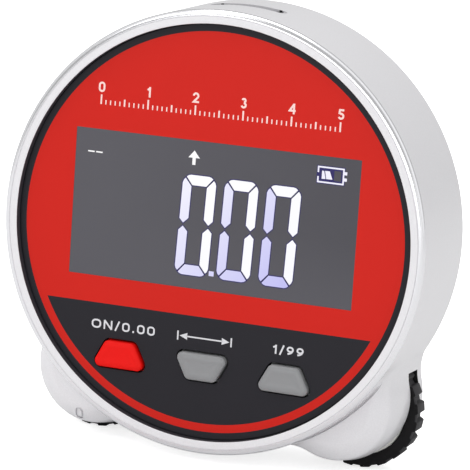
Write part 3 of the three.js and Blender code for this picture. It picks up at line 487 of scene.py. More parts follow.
# Outlines: lists of places right of and above the middle of the face


def sweep(x, z, radius, start, end, steps, closed=False):
    """Places along an arc, without its end unless it is closed."""
    count = steps + 1 if closed else steps
    angles = [start + (end - start) * i / steps for i in range(count)]
    return [(x + radius * math.cos(angle), z + radius * math.sin(angle)) for angle in angles]


def circle(x, z, radius, steps=64):
    return sweep(x, z, radius, 0, TURN, steps)


def box(left, right, foot, top):
    return [(left, foot), (right, foot), (right, top), (left, top)]


def stadium(x, z, half, end, steps):
    """A bar with round ends, whose end circles lie half a length from its middle."""
    return [*sweep(x + half, z, end, -QUARTER, QUARTER, steps, closed=True),
            *sweep(x - half, z, end, QUARTER, 3 * QUARTER, steps, closed=True)]


def unwrap(angle, near):
    """The same angle, within half a turn of another."""
    return angle - TURN * round((angle - near) / TURN)


def case_outline(round_radius, lobe_radius, fillet, top_steps=180, foot_steps=40):
    """A circle with a round bulge at each wheel and hollow curves between."""
    distance = math.hypot(LOBE_X, LOBE_Z)
    lobe_angle = math.atan2(LOBE_Z, LOBE_X)
    reach = round_radius + fillet
    spread = math.acos((reach**2 + distance**2 - (lobe_radius + fillet) ** 2) / (2 * reach * distance))
    low, high = lobe_angle - spread, lobe_angle + spread
    low_x, low_z = reach * math.cos(low), reach * math.sin(low)
    high_x, high_z = reach * math.cos(high), reach * math.sin(high)
    low_turn = math.atan2(LOBE_Z - low_z, LOBE_X - low_x)
    high_turn = math.atan2(LOBE_Z - high_z, LOBE_X - high_x)
    lobe_start = low_turn - math.pi
    lobe_end = unwrap(high_turn + math.pi, lobe_start + math.pi)
    right = [
        *sweep(low_x, low_z, fillet, low + math.pi, unwrap(low_turn, low + math.pi), 20),
        *sweep(LOBE_X, LOBE_Z, lobe_radius, lobe_start, lobe_end, 72),
        *sweep(high_x, high_z, fillet, unwrap(high_turn, high + math.pi), high + math.pi, 20),
        (round_radius * math.cos(high), round_radius * math.sin(high)),
    ]
    top = sweep(0, 0, round_radius, high, math.pi - high, top_steps)[1:]
    left = [(-x, z) for x, z in reversed(right)]
    foot = sweep(0, 0, round_radius, -math.pi - low, low, foot_steps)[1:]
    return [*right, *top, *left, *foot]


def inner_outline(gap):
    """The hollow of the case, drawn in by a gap."""
    return case_outline(CASE_INNER - gap, LOBE_INNER - gap, LOBE_FILLET + CASE_WALL + gap)


def rounded(corners, radius, steps=8):
    """A convex outline with round corners. The corners run round from the lower left to the right."""
    points = []
    for i, (x, z) in enumerate(corners):
        corner = Vector((x, z))
        into = (corner - Vector(corners[i - 1])).normalized()
        out = (Vector(corners[(i + 1) % len(corners)]) - corner).normalized()
        start = math.atan2(into.y, into.x) - math.pi / 2
        end = unwrap(math.atan2(out.y, out.x) - math.pi / 2, start)
        first = corner - into * radius * math.tan((end - start) / 2)
        middle = first - Vector((math.cos(start), math.sin(start))) * radius
        points += sweep(middle.x, middle.y, radius, start, end, steps, closed=True)
    return points


def button_outline(x, z, wide_on_top, grow):
    """A button's trapezium, grown on every side."""
    slope = (1 if wide_on_top else -1) * (BUTTON_WIDE - BUTTON_NARROW) / 2 / BUTTON_HEIGHT
    middle = (BUTTON_WIDE + BUTTON_NARROW) / 4 + grow / math.cos(math.atan(slope))
    half = BUTTON_HEIGHT / 2 + grow
    corners = [(x + side * (middle + slope * end * half), z + end * half)
               for side, end in ((-1, -1), (1, -1), (1, 1), (-1, 1))]
    return rounded(corners, max(BUTTON_CORNER + grow, BUTTON_LEAST_CORNER))


def mitre(before, here, after):
    """How far a corner between two edges moves out when both edges move out by one."""
    into = (Vector(here) - Vector(before)).normalized()
    out = (Vector(after) - Vector(here)).normalized()
    across = Vector((into.y + out.y, -into.x - out.x))
    return across / (across.length_squared / 2)


def grown(outline, margin):
    """A convex outline moved out by a margin on every side."""
    following = [*outline[1:], outline[0]]
    return [tuple(Vector(here) + mitre(outline[i - 1], here, following[i]) * margin)
            for i, here in enumerate(outline)]


def quarter_angles(steps):
    """Angles from nothing to a quarter turn."""
    return [QUARTER * i / steps for i in range(steps + 1)]


def rounding(width, depth, steps):
    """Steps of a quarter round edge: how far in and how far from its front."""
    return [(width * (1 - math.sin(angle)), depth * (1 - math.cos(angle)))
            for angle in quarter_angles(steps)]


# Solids

SURFACES = range(5)
SILVER, INSIDE, FILM_EDGE, RECESS_SHADE, HIGHLIGHT_EDGE = SURFACES
WELD = 1e-7


def verts_of(made):
    """The vertices that an operator has made."""
    return [part for part in made["geom"] if isinstance(part, bmesh.types.BMVert)]


def all_of(bm):
    """All that a mesh is made of."""
    return bm.verts[:] + bm.edges[:] + bm.faces[:]


def middle_of(face):
    """A face's middle, as a place from the middle of the label's front."""
    return face.calc_center_median() / MM - FACE


def weld(bm):
    """Merge vertices that lie on each other."""
    bmesh.ops.remove_doubles(bm, verts=bm.verts[:], dist=WELD)


def face_outwards(bm):
    """Turn all faces outwards."""
    bmesh.ops.recalc_face_normals(bm, faces=bm.faces[:])


def raised(places, move, bm):
    """A flat outline made solid by a move, in a new mesh or added to one."""
    if bm is None:
        bm = bmesh.new()
    face = bm.faces.new([bm.verts.new(place) for place in places])
    made = bmesh.ops.extrude_face_region(bm, geom=[face])
    bmesh.ops.translate(bm, verts=verts_of(made), vec=move)
    return bm


def slab(outline, front, back, bm=None):
    """An outline made solid from one depth to another."""
    return raised([at(x, front, z) for x, z in outline], (0, (back - front) * MM, 0), bm)


def upright(outline, foot, top, bm=None):
    """An outline right of and behind the middle of the face, made solid from one height to another."""
    return raised([at(x, depth, foot) for x, depth in outline], (0, 0, (top - foot) * MM), bm)


def block(left, right, front, back, foot, top, bm=None):
    return slab(box(left, right, foot, top), front, back, bm)


def discs(places, radius, front, back, bm=None, steps=64):
    """A disc at each place, in one mesh."""
    for x, z in places:
        bm = slab(circle(x, z, radius, steps), front, back, bm)
    return bm


def turned(profile, x, z, steps=FINE, closed=False, along="Y", depth=0.0):
    """A profile of radius and distance turned round an axis that runs to the rear or to the right."""
    bm = bmesh.new()
    if along == "Y":
        verts = [bm.verts.new(at(x + radius, distance, z)) for radius, distance in profile]
        axis, centre = (0, 1, 0), at(x, 0, z)
    else:
        verts = [bm.verts.new(at(distance, depth, z + radius)) for radius, distance in profile]
        axis, centre = (1, 0, 0), at(0, depth, z)
    edges = [bm.edges.new(pair) for pair in zip(verts, verts[1:])]
    if closed:
        edges.append(bm.edges.new((verts[-1], verts[0])))
    bmesh.ops.spin(bm, geom=verts + edges, cent=centre, axis=axis, angle=TURN, steps=steps, use_merge=True)
    weld(bm)
    face_outwards(bm)
    return bm


def lofted(sections):
    """A closed body through outlines of equal length, each with its depth."""
    bm = bmesh.new()
    depth, outline = sections[0]
    ring = [bm.verts.new(at(x, depth, z)) for x, z in outline]
    edges = [bm.edges.new(pair) for pair in zip(ring, ring[1:] + ring[:1])]
    bmesh.ops.edgeloop_fill(bm, edges=edges)
    for depth, outline in sections[1:]:
        made = bmesh.ops.extrude_edge_only(bm, edges=edges)
        copies = {tuple(vert.co): vert for vert in verts_of(made)}
        ring = [copies[tuple(vert.co)] for vert in ring]
        for vert, (x, z) in zip(ring, outline):
            vert.co = at(x, depth, z)
        edges = [bm.edges.get(pair) for pair in zip(ring, ring[1:] + ring[:1])]
    bmesh.ops.edgeloop_fill(bm, edges=edges)
    face_outwards(bm)
    return bm


def mesh_of(name, bm):
    """A mesh that takes over all that was modelled."""
    mesh = bpy.data.meshes.new(name)
    bm.to_mesh(mesh)
    bm.free()
    return mesh


def in_scene(name, data):
    """A new object in the scene."""
    made = bpy.data.objects.new(name, data)
    bpy.context.scene.collection.objects.link(made)
    return made


def as_object(bm, index=SILVER):
    """A temporary object, whose unmarked faces take a surface number."""
    for face in bm.faces:
        face.material_index = max(index, face.material_index)
    face_outwards(bm)
    mesh = mesh_of("tool", bm)
    for _ in SURFACES:
        mesh.materials.append(silver_paint)
    return in_scene("tool", mesh)


def join(solid, index=SILVER):
    """A step that adds a solid, whose faces take a surface number."""
    return "UNION", solid, index


def cut(solid, index=SILVER):
    """A step that takes a solid away, which leaves faces with its surface number."""
    return "DIFFERENCE", solid, index


def worked(bm, *steps):
    """A solid after its joins and cuts."""
    whole = as_object(bm)
    tools = []
    for operation, tool, index in steps:
        tools.append(as_object(tool, index))
        change = whole.modifiers.new("change", "BOOLEAN")
        change.operation = operation
        change.solver = "EXACT"
        change.object = tools[-1]
    view = bpy.context.evaluated_depsgraph_get()
    mesh = bpy.data.meshes.new_from_object(whole.evaluated_get(view))
    result = bmesh.new()
    result.from_mesh(mesh)
    weld(result)
    bpy.data.meshes.remove(mesh)
    for made in [whole, *tools]:
        used = made.data
        bpy.data.objects.remove(made)
        bpy.data.meshes.remove(used)
    return result


def piece(name, bm, body, materials, nodes=(), sharp=35.0):
    """A finished piece that rides on a body and stands for its nodes."""
    face_outwards(bm)
    mesh = mesh_of(name, bm)
    for material in materials:
        mesh.materials.append(material)
    mesh.polygons.foreach_set("use_smooth", [True] * len(mesh.polygons))
    mesh.set_sharp_from_angle(angle=math.radians(sharp))
    made = in_scene(name, mesh)
    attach(made, body)
    if nodes:
        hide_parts(*nodes)


# Front housing


def rim_inside():
    """The small round edge between the bezel's inner wall and its flat front."""
    return [(BEZEL_OPENING + BEZEL_INNER_ROUND * (1 - math.cos(angle)),
             LIP + BEZEL_INNER_ROUND * (1 - math.sin(angle))) for angle in quarter_angles(5)]


def bezel_and_wall():
    """The bezel with its fine groove and the round wall, their surfaces marked for the finishes."""
    edge = BEZEL_OPENING + BEZEL_FLAT
    floor = LIP + BEZEL_GROOVE_DEPTH
    groove = [(edge, LIP), (edge + BEZEL_GROOVE_SLANT, floor),
              (edge + BEZEL_GROOVE - BEZEL_GROOVE_SLANT, floor)]
    front = CASE_RADIUS - CASE_DRAFT
    outer = [(front - inset, LIP + drop)
             for inset, drop in rounding(front - edge - BEZEL_GROOVE, BEZEL_ROUND, 10)]
    bm = turned([(0, FRONT_WALL), (BEZEL_OPENING, FRONT_WALL), *rim_inside(), *groove, *outer,
                 (CASE_RADIUS, CASE_BACK), (0, CASE_BACK)], 0, 0)
    for face in bm.faces:
        place = middle_of(face)
        out = math.hypot(place.x, place.z)
        if place.y < CASE_BACK / 2 and out < BEZEL_OPENING + FILM_EDGE_ROUND:
            face.material_index = FILM_EDGE if out > BEZEL_OPENING - BEZEL_FLAT else INSIDE
        # The outer round takes the brighter metal, a painted highlight along the bezel's edge.
        elif out > edge + BEZEL_GROOVE and place.y < LIP + BEZEL_ROUND:
            face.material_index = HIGHLIGHT_EDGE
    return bm


def bend(start, control, end, steps):
    """Places along a smooth bend, without its end."""
    start, control, end = Vector(start), Vector(control), Vector(end)
    parts = [i / steps for i in range(steps)]
    return [tuple(start * (1 - t) ** 2 + control * 2 * t * (1 - t) + end * t ** 2) for t in parts]


def lobe_edge(inset):
    """The bulge's front edge, drawn in: a slope, a soft ridge and a steep side, as radii and depths."""
    radius = LOBE_RADIUS - LOBE_DRAFT - inset
    front = LOBE_FACE + inset
    depth = LOBE_STRAIGHT - front
    face = Vector((radius - LOBE_ROUND_WIDTH, front))
    slope = face + Vector((LOBE_SLOPE_START, 0))
    ridge = Vector((radius - LOBE_RIDGE_INSET, front + depth * LOBE_RIDGE_SHARE))
    foot = Vector((radius, LOBE_STRAIGHT))
    before = ridge + (slope - ridge).normalized() * LOBE_RIDGE_ROUND
    after = ridge + (foot - ridge).normalized() * LOBE_RIDGE_ROUND
    return [*bend(face, slope, before, 10), *bend(before, ridge, after, 8), tuple(after), tuple(foot)]


def wall_radius(depth):
    """The radius of the round case at a depth."""
    return CASE_RADIUS - CASE_DRAFT * (CASE_BACK - depth) / (CASE_BACK - LIP)


def lobes():
    """Both bulges as one body, with a fine groove at the foot of the bezel's wall."""
    def section(depth, lobe):
        return depth, case_outline(wall_radius(depth) - LOBE_SINK, lobe, LOBE_FILLET, 24, 12)

    wall = wall_radius(LOBE_FACE)
    front, floor = LOBE_FACE - OVERRUN, LOBE_FACE + CREASE_DEPTH
    groove = turned([(wall - OVERRUN, front), (wall + CREASE, front), (wall + CREASE, LOBE_FACE),
                     (wall + CREASE / 2, floor), (wall - OVERRUN, floor)], 0, 0, closed=True)
    edge = [section(depth, radius) for radius, depth in lobe_edge(0)]
    return worked(lofted([*edge, section(CASE_BACK, LOBE_RADIUS)]), cut(groove))


def lobe_core(side, inset):
    """The body of one bulge, drawn in by an inset."""
    edge = lobe_edge(inset)
    back = LOBE_STRAIGHT + OVERRUN
    profile = [(0, LOBE_FACE + inset), *edge, (edge[-1][0], back), (0, back)]
    return turned(profile, side * LOBE_X, LOBE_Z, 96)


def lanyard_recess():
    """The long recess in the top of the case."""
    end = LANYARD_WIDTH / 2
    outline = stadium(LANYARD_X, LANYARD_DEPTH, (LANYARD_LENGTH - LANYARD_WIDTH) / 2, end, 16)
    return upright(outline, LANYARD_FLOOR, CASE_RADIUS + OVERRUN)


def lanyard_holes():
    """Two holes in the recess's floor, which leave a bar between them."""
    bm = bmesh.new()
    for side in (-1, 1):
        hole = circle(LANYARD_X + side * LANYARD_HOLE_SPACING / 2, LANYARD_HOLE_DEPTH, LANYARD_HOLE, 32)
        upright(hole, LANYARD_FLOOR - 2 * LANYARD_TUNNEL, LANYARD_FLOOR + LANYARD_HOLE_RISE, bm)
    return bm


def lanyard_block(half, reach, foot, top):
    """A block under the recess."""
    return block(LANYARD_X - half, LANYARD_X + half, LANYARD_DEPTH - reach, LANYARD_DEPTH + reach,
                 foot, top)


def lanyard_tunnel():
    """The way from one hole to the other, behind the bar."""
    top = LANYARD_FLOOR - LANYARD_TUNNEL
    return lanyard_block(LANYARD_HOLE_SPACING / 2, LANYARD_HOLE, top - LANYARD_TUNNEL, top)


def lanyard_pad():
    """The thick wall that holds the recess and its tunnel."""
    half, reach = (size / 2 + LANYARD_PAD_MARGIN for size in (LANYARD_LENGTH, LANYARD_WIDTH))
    return lanyard_block(half, reach, CASE_INNER - LANYARD_PAD_THICKNESS, CASE_INNER)


def start_mark():
    """A thin groove round a small upright plate on the left bulge, where a measure starts."""
    def plate(inset, front, back):
        half, tall = START_MARK_WIDTH / 2 - inset, START_MARK_HEIGHT / 2 - inset
        bm = slab(rounded(box(-half, half, -tall, tall), half * START_MARK_ROUND_SHARE), front, back)
        bmesh.ops.rotate(bm, verts=bm.verts[:], cent=at(0, 0, 0),
                         matrix=Matrix.Rotation(START_MARK_TURN, 3, "Y"))
        bmesh.ops.translate(bm, verts=bm.verts[:], vec=Vector((START_MARK_X, 0, START_MARK_Z)) * MM)
        return bm

    middle = plate(START_MARK_LINE, LOBE_FACE - 2 * OVERRUN, LOBE_STRAIGHT + OVERRUN)
    whole = plate(0, LOBE_FACE - OVERRUN, LOBE_STRAIGHT)
    return worked(whole, cut(middle), cut(lobe_core(-1, START_MARK_DEPTH)))


def inner_posts():
    """Bosses and posts that stand inside the front housing."""
    bm = discs(AXLES, BOSS_RADIUS, LOBE_FACE + OVERRUN, BOSS_BACK)
    discs(BOARD_POSTS, BOARD_POST_RADIUS, POST_ROOT, BOARD_POST_BACK, bm)
    return discs(COVER_SCREWS, SCREW_POST_RADIUS, POST_ROOT, SCREW_POST_BACK, bm)


def face_openings(grow, window_grow, front, back):
    """Tools for the window and the buttons."""
    half, tall = WINDOW_HALF + window_grow, WINDOW_HALF_HEIGHT + window_grow
    bm = block(-half, half, front, back, WINDOW_RISE - tall, WINDOW_RISE + tall)
    for _, x, z, wide_on_top in BUTTONS:
        slab(button_outline(x, z, wide_on_top, grow), front, back, bm)
    return bm


def front_case():
    """The silver case, hollowed, with its bulges, posts, slots, openings and lanyard loop."""
    back = CASE_BACK + OVERRUN
    hollow = turned([(0, WALL_BACK), (CASE_INNER, WALL_BACK), (CASE_INNER, back), (0, back)], 0, 0, 180)
    wheel_slots = discs(AXLES, SLOT_RADIUS, TYRE_FRONT - SLOT_PLAY, SLOT_BACK, steps=128)
    shell = worked(
        bezel_and_wall(),
        join(lobes()),
        cut(hollow, INSIDE),
        cut(lofted([(LOBE_STRAIGHT, inner_outline(0)), (back, inner_outline(0))]), INSIDE),
        cut(lobe_core(-1, CASE_WALL), INSIDE),
        cut(lobe_core(1, CASE_WALL), INSIDE),
        join(inner_posts(), INSIDE),
        join(lanyard_pad(), INSIDE),
        cut(wheel_slots, INSIDE),
        cut(face_openings(BUTTON_HOLE_PLAY, WINDOW_HOLE_PLAY, 0, WALL_BACK + OVERRUN), INSIDE),
        # The recess's faces take the darker paint: painted shade.
        cut(lanyard_recess(), RECESS_SHADE),
        cut(lanyard_holes(), INSIDE),
        cut(lanyard_tunnel(), INSIDE),
        cut(start_mark()),
    )
    finishes = [silver_paint, case_inside, film_edge, recess_painted_shade, edge_metal_highlight]
    piece("front_case", shell, "case", finishes, ["front_housing"])


# Rear cover


def lid_outline(half, grow):
    """The lid's outline: straight sides and foot, and a top that follows the round case."""
    radius = LID_TOP_RADIUS + grow
    angle = math.acos(half / radius)
    return [(-half, LID_FOOT - grow), (half, LID_FOOT - grow),
            *sweep(0, 0, radius, angle, math.pi - angle, 60, closed=True)]


def battery_bay(wall, back):
    """The bay for the cells, grown by a wall."""
    half, tall = BAY_HALF + wall, BAY_HALF_HEIGHT + wall
    return block(-half, half, BAY_FRONT - wall, back, BAY_RISE - tall, BAY_RISE + tall)


def rear_case():
    """The rear cover: a rounded shell with a rim, the battery bay, the lid's runway and the screw wells."""
    def section(depth, gap):
        return depth, inner_outline(gap)

    start = COVER_PLAY + COVER_STEP
    edge = [section(COVER_BACK - COVER_ROUND_DEPTH + COVER_ROUND_DEPTH * math.sin(angle),
                    start + COVER_ROUND * (1 - math.cos(angle))) for angle in quarter_angles(8)]
    outer = lofted([section(COVER_FRONT, start), *edge])
    rim = lofted([section(COVER_FRONT, COVER_PLAY), section(CASE_BACK, COVER_PLAY)])
    inner = COVER_BACK - COVER_WALL
    hollow = lofted([
        section(COVER_FRONT - OVERRUN, start + COVER_WALL),
        section(inner - COVER_ROUND_DEPTH, start + COVER_WALL),
        section(inner, start + COVER_ROUND + COVER_WALL),
    ])
    bed_half = LID_HALF + LID_TONGUE + COVER_WALL
    bed = block(-bed_half, bed_half, LID_BED - LID_BED_WALL, COVER_BACK, LID_FOOT - COVER_WALL, CASE_RADIUS)
    posts = discs(COVER_SCREWS, PILLAR_RADIUS, COVER_FRONT, COVER_BACK)
    discs(AXLES, BOSS_RADIUS, REAR_BOSS_FRONT, COVER_BACK, posts)
    space = worked(hollow, cut(bed), cut(battery_bay(BAY_WALL, COVER_BACK)), cut(posts))
    past = COVER_BACK + OVERRUN
    half = LID_HALF + LID_PLAY
    tongue = half + LID_TONGUE
    foot = LID_FOOT - LID_PLAY
    shell = worked(
        outer,
        join(rim),
        cut(space),
        cut(battery_bay(0, past)),
        cut(block(-half, half, LID_BED, past, foot, CASE_RADIUS)),
        cut(block(-tongue, tongue, LID_BED, LID_GROOVE_BACK, foot, CASE_RADIUS)),
        cut(discs(COVER_SCREWS, WELL_RADIUS, CASE_BACK, past)),
        cut(discs(COVER_SCREWS, SHAFT_RADIUS, COVER_FRONT - OVERRUN, SHAFT_BACK)),
    )
    piece("rear_case", shell, "case", [cover_plastic], ["rear_cover"])


def sliding_lid():
    """The battery lid with its tongues, grip ribs and arrow."""
    plate = lofted([
        (LID_FRONT, lid_outline(LID_HALF, 0)),
        (COVER_BACK - LID_EDGE, lid_outline(LID_HALF, 0)),
        (COVER_BACK - LID_EDGE_START, lid_outline(LID_HALF - LID_EDGE_START, -LID_EDGE_START)),
        (COVER_BACK, lid_outline(LID_HALF - LID_EDGE, -LID_EDGE)),
    ])
    tongues = slab(lid_outline(LID_HALF + LID_TONGUE, 0), LID_FRONT, LID_TONGUE_BACK)
    grips = bmesh.new()
    end = GRIP_THICKNESS / 2
    for i in range(GRIP_COUNT):
        grip = stadium(0, GRIP_START + GRIP_PITCH * (i + 1) + end, GRIP_WIDTH / 2, end, 12)
        slab(grip, COVER_BACK - GRIP_DEPTH, COVER_BACK + OVERRUN, grips)
    arrow = slab(LID_ARROW, COVER_BACK - LID_ARROW_DEPTH, COVER_BACK + OVERRUN)
    shell = worked(plate, join(tongues), cut(grips), cut(arrow))
    piece("sliding_lid", shell, "lid", [cover_plastic], ["battery_lid"])


def cover_screws():
    """Four screws with round heads and a cross recess."""
    seat = CASE_BACK
    tip = seat - SCREW_LENGTH
    head = [(SCREW_HEAD_RADIUS - SCREW_ROUND * (1 - math.cos(angle)),
             seat + SCREW_HEAD - SCREW_ROUND_DEPTH + SCREW_ROUND_DEPTH * math.sin(angle))
            for angle in quarter_angles(8)]
    profile = [(0, tip), (SCREW_TIP_RADIUS, tip), (SCREW_RADIUS, tip + SCREW_TIP_LENGTH),
               (SCREW_RADIUS, seat), (SCREW_HEAD_RADIUS, seat), *head, (0, seat + SCREW_HEAD)]
    floor, past = seat + SCREW_CROSS_FLOOR, seat + 2 * OVERRUN
    for number, (x, z) in enumerate(COVER_SCREWS, 1):
        shape = turned(profile, x, z, 48)
        cross = [block(x - wide, x + wide, floor, past, z - tall, z + tall) for wide, tall in
                 ((SCREW_CROSS_HALF, SCREW_CROSS_HALF_WIDTH), (SCREW_CROSS_HALF_WIDTH, SCREW_CROSS_HALF))]
        shape = worked(shape, *(cut(arm) for arm in cross))
        piece(f"rear_screw_{number}", shape, "case", [bright_steel],
              [f"cover_screw_{number}"])


# Face


def face_film():
    """The printed film with its openings."""
    profile = [(0, 0), (LABEL_RADIUS - LABEL_EDGE, 0), (LABEL_RADIUS, LABEL_EDGE),
               (LABEL_RADIUS, LABEL_THICKNESS), (0, LABEL_THICKNESS)]
    openings = face_openings(BUTTON_HOLE_PLAY, 0, -OVERRUN, 2 * OVERRUN)
    shape = worked(turned(profile, 0, 0), cut(openings))
    piece("face_film", shape, "case", [label_print], ["face_label"], sharp=25)


def window():
    """The window pane with the flange that holds it behind the case wall."""
    low, high = span("display_window")
    half, tall = WINDOW_HALF - WINDOW_FIT, WINDOW_HALF_HEIGHT - WINDOW_FIT
    pane = block(-half, half, WINDOW_SINK, high.y, WINDOW_RISE - tall, WINDOW_RISE + tall)
    flange = block(low.x, high.x, WALL_BACK, high.y, low.z, high.z)
    shape = worked(pane, join(flange))
    piece("window_pane", shape, "case", [window_film], ["display_window"], sharp=25)


def button_cap(name, x, z, wide_on_top, material, slot):
    """A domed rubber cap with a slight dish and a flange behind the case wall."""
    def section(depth, grow):
        return depth, button_outline(x, z, wide_on_top, grow)

    low, high = span(f"button_{name}")
    flange_front = high.y - BUTTON_FLANGE
    dish = [section(low.y + BUTTON_DISH * share, -inset) for inset, share in BUTTON_DISH_RINGS]
    crown = [section(low.y + drop, -inset) for inset, drop in rounding(BUTTON_CROWN, BUTTON_CROWN_DEPTH, 8)]
    cap = lofted([*dish, *crown, section(flange_front + BUTTON_FLANGE_OVERLAP, 0)])
    flange = slab(button_outline(x, z, wide_on_top, BUTTON_FLANGE_WIDTH), flange_front, high.y)
    shape = worked(cap, join(flange))
    piece(f"{name}_button_cap", shape, f"{name}_button", [material], [f"button_{name}"])


# Display: three digits of glowing segments, and small marks

RIM_FRONT = WINDOW_SINK - 0.012
LIT_FRONT = WINDOW_SINK - 0.024
LIT_ROOT = WINDOW_SINK + 0.01
DIGIT_MIDDLES = (-3.1, 4.85, 12.8)
DIGIT_RISE = 1.08
DIGIT_SLANT = 0.035
SIDE_SEGMENT = [(2.4, 0.28), (3.16, 1.05), (3.16, 7.5), (2.97, 8.02), (2.68, 8.33), (1.47, 6.93),
                (1.47, 1.2)]
END_HALF = [(1.33, 7.15), (2.5, 8.58), (2.15, 8.86), (1.7, 8.98)]
END_SEGMENT = [*END_HALF, *((-x, z) for x, z in reversed(END_HALF))]
SEGMENT_RIM = 0.17
DECIMAL_POINT = box(0.0, 0.93, -7.57, -6.7)
DASH_LEFTS = (-24.49, -22.93)
DASH_LENGTH = 1.25
DASH_FOOT = 11.95
DASH_TOP = 12.19
DASH_FALL = 0.02
UP_ARROW = [(-5.25, 13.1), (-3.05, 13.1), (-4.15, 14.4)]
UP_ARROW_STEM = box(-4.45, -3.85, 11.85, 13.2)
CHARGE_LEFT, CHARGE_RIGHT, CHARGE_FOOT, CHARGE_TOP = 18.93, 23.86, 11.5, 14.42
CHARGE_LINE = 0.28
CHARGE_SHADE = 0.14
CHARGE_CLEAR = 22.0
CHARGE_GAP = (12.6, 13.3)
CHARGE_NUBS = (12.2, 13.3)
CHARGE_NUB_LENGTH = 0.5
CHARGE_NUB_HEIGHT = 0.55
CHARGE_BARS = [[(19.75, 12.2), (20.45, 12.24), (20.12, 13.63), (19.75, 13.63)],
               [(20.6, 12.24), (21.73, 12.26), (21.16, 13.66), (20.3, 13.65)]]


def mirrored(outline, across, up):
    """An outline turned over, with its points kept in the same sense."""
    points = [(x * across, z * up) for x, z in outline]
    return points if across * up > 0 else points[::-1]


def segments(middle):
    """A digit's segments: their outlines, and whether each one is full white."""
    shapes = [(mirrored(SIDE_SEGMENT, across, up), across > 0) for across in (-1, 1) for up in (-1, 1)]
    shapes += [(mirrored(END_SEGMENT, 1, up), up > 0) for up in (-1, 1)]
    return [([(middle + x + DIGIT_SLANT * z, DIGIT_RISE + z) for x, z in shape], full)
            for shape, full in shapes]


def lit(outline, bm, root=WINDOW_SINK):
    """A lit mark that stands a hair in front of the window."""
    slab(outline, LIT_FRONT, root, bm)


def display():
    """The digits with their dark rims, the decimal point, two dashes and an arrow."""
    bright, soft, rims = bmesh.new(), bmesh.new(), bmesh.new()
    for middle in DIGIT_MIDDLES:
        for outline, full in segments(middle):
            lit(outline, bright if full else soft, LIT_ROOT)
            slab(grown(outline, SEGMENT_RIM), RIM_FRONT, LIT_ROOT, rims)
    lit(DECIMAL_POINT, soft)
    for left in DASH_LEFTS:
        right = left + DASH_LENGTH
        dash = [(left, DASH_FOOT), (right, DASH_FOOT - DASH_FALL),
                (right, DASH_TOP - DASH_FALL), (left, DASH_TOP)]
        lit(dash, bright)
    lit(UP_ARROW, bright)
    lit(UP_ARROW_STEM, bright)
    piece("segment_rims", rims, "case", [segment_rim])
    piece("segments_bright", bright, "case", [lit_white])
    piece("segments_soft", soft, "case", [lit_lavender])


def battery_mark():
    """The charge mark in the display's corner: a frame, two contacts and two slanted bars."""
    left, right, foot, top = CHARGE_LEFT, CHARGE_RIGHT, CHARGE_FOOT, CHARGE_TOP
    low, high, inner = foot + CHARGE_LINE, top - CHARGE_LINE, right - CHARGE_LINE
    shade = CHARGE_SHADE
    field = block(left - shade, right + shade, RIM_FRONT, LIT_ROOT, foot - shade, top + shade)
    clear = block(CHARGE_CLEAR, inner - 2 * shade, RIM_FRONT - OVERRUN, LIT_ROOT + OVERRUN,
                  low + 2 * shade, high - 2 * shade)
    piece("charge_field", worked(field, cut(clear)), "case", [segment_rim])
    bm = bmesh.new()
    lit(box(left, right, high, top), bm)
    lit(box(left, right, foot, low), bm)
    lit(box(inner, right, low, high), bm)
    lit(box(left, left + CHARGE_LINE, low, CHARGE_GAP[0]), bm)
    lit(box(left, left + CHARGE_LINE, CHARGE_GAP[1], high), bm)
    for nub in CHARGE_NUBS:
        lit(box(right, right + CHARGE_NUB_LENGTH, nub, nub + CHARGE_NUB_HEIGHT), bm)
    for bar in CHARGE_BARS:
        lit(bar, bm)
    piece("charge_mark", bm, "case", [lit_pale])


# Print on the label

CHARACTER_LINE = 0.19
PEN = CHARACTER_LINE / 2
CHARACTER_GAP = 0.16
LINE_LIFT = 0.004
SCALE_FOOT = 20.7
SCALE_PITCH = 0.9
SCALE_COUNT = 50
TICKS = {10: (1.7, 0.15), 5: (1.25, 0.15), 1: (0.8, 0.11)}
NUMBER_RISE = 2.15
NUMBER_HEIGHT = 1.85
SIGN_FOOT = -19.8
SIGN_TOP = -18.15
SIGN_LINE_HALF = 0.13
ON_SIGN_X = -15.7
ON_SIGN_STRETCH = 1.42
MEMORY_SIGN_X = 15.8
MEMORY_SIGN_STRETCH = 1.3
LIMIT_X = 5.1
LIMIT_HALF = 0.14
ARROW_TIP = 4.75
ARROW_ROOT = 3.3
ARROW_HALF = 0.62
ARROW_LINE = 3.4


def ribbon(points, width, bm, closed=False, lift=0.0):
    """A printed line of even width through a row of places, lifted a hair over the lines before it."""
    count = len(points)
    pairs = []
    for i, here in enumerate(points):
        after = points[(i + 1) % count] if closed or i < count - 1 else None
        before = points[i - 1] if closed or i > 0 else None
        if before is None:
            before = tuple(2 * Vector(here) - Vector(after))
        if after is None:
            after = tuple(2 * Vector(here) - Vector(before))
        move = mitre(before, here, after) * width / 2
        pairs.append([bm.verts.new(at(here[0] + side * move.x, PRINT_DEPTH - lift, here[1] + side * move.y))
                      for side in (-1, 1)])
    steps = zip(pairs, pairs[1:] + pairs[:1]) if closed else zip(pairs, pairs[1:])
    faces = [bm.faces.new((a, b, d, c)) for (a, b), (c, d) in steps]
    made = bmesh.ops.extrude_face_region(bm, geom=faces)
    bmesh.ops.translate(bm, verts=verts_of(made), vec=(0, PRINT_THICKNESS * MM, 0))


def bow(x, z, radius, start, end, steps=12):
    """A round line of a character, with its outer radius and its quarter turns."""
    return sweep(x, z, radius - PEN, start * QUARTER, end * QUARTER, steps, closed=True)


def ring(width, corner):
    """A round closed line of a character."""
    return rounded(box(PEN, width - PEN, PEN, 1 - PEN), corner)


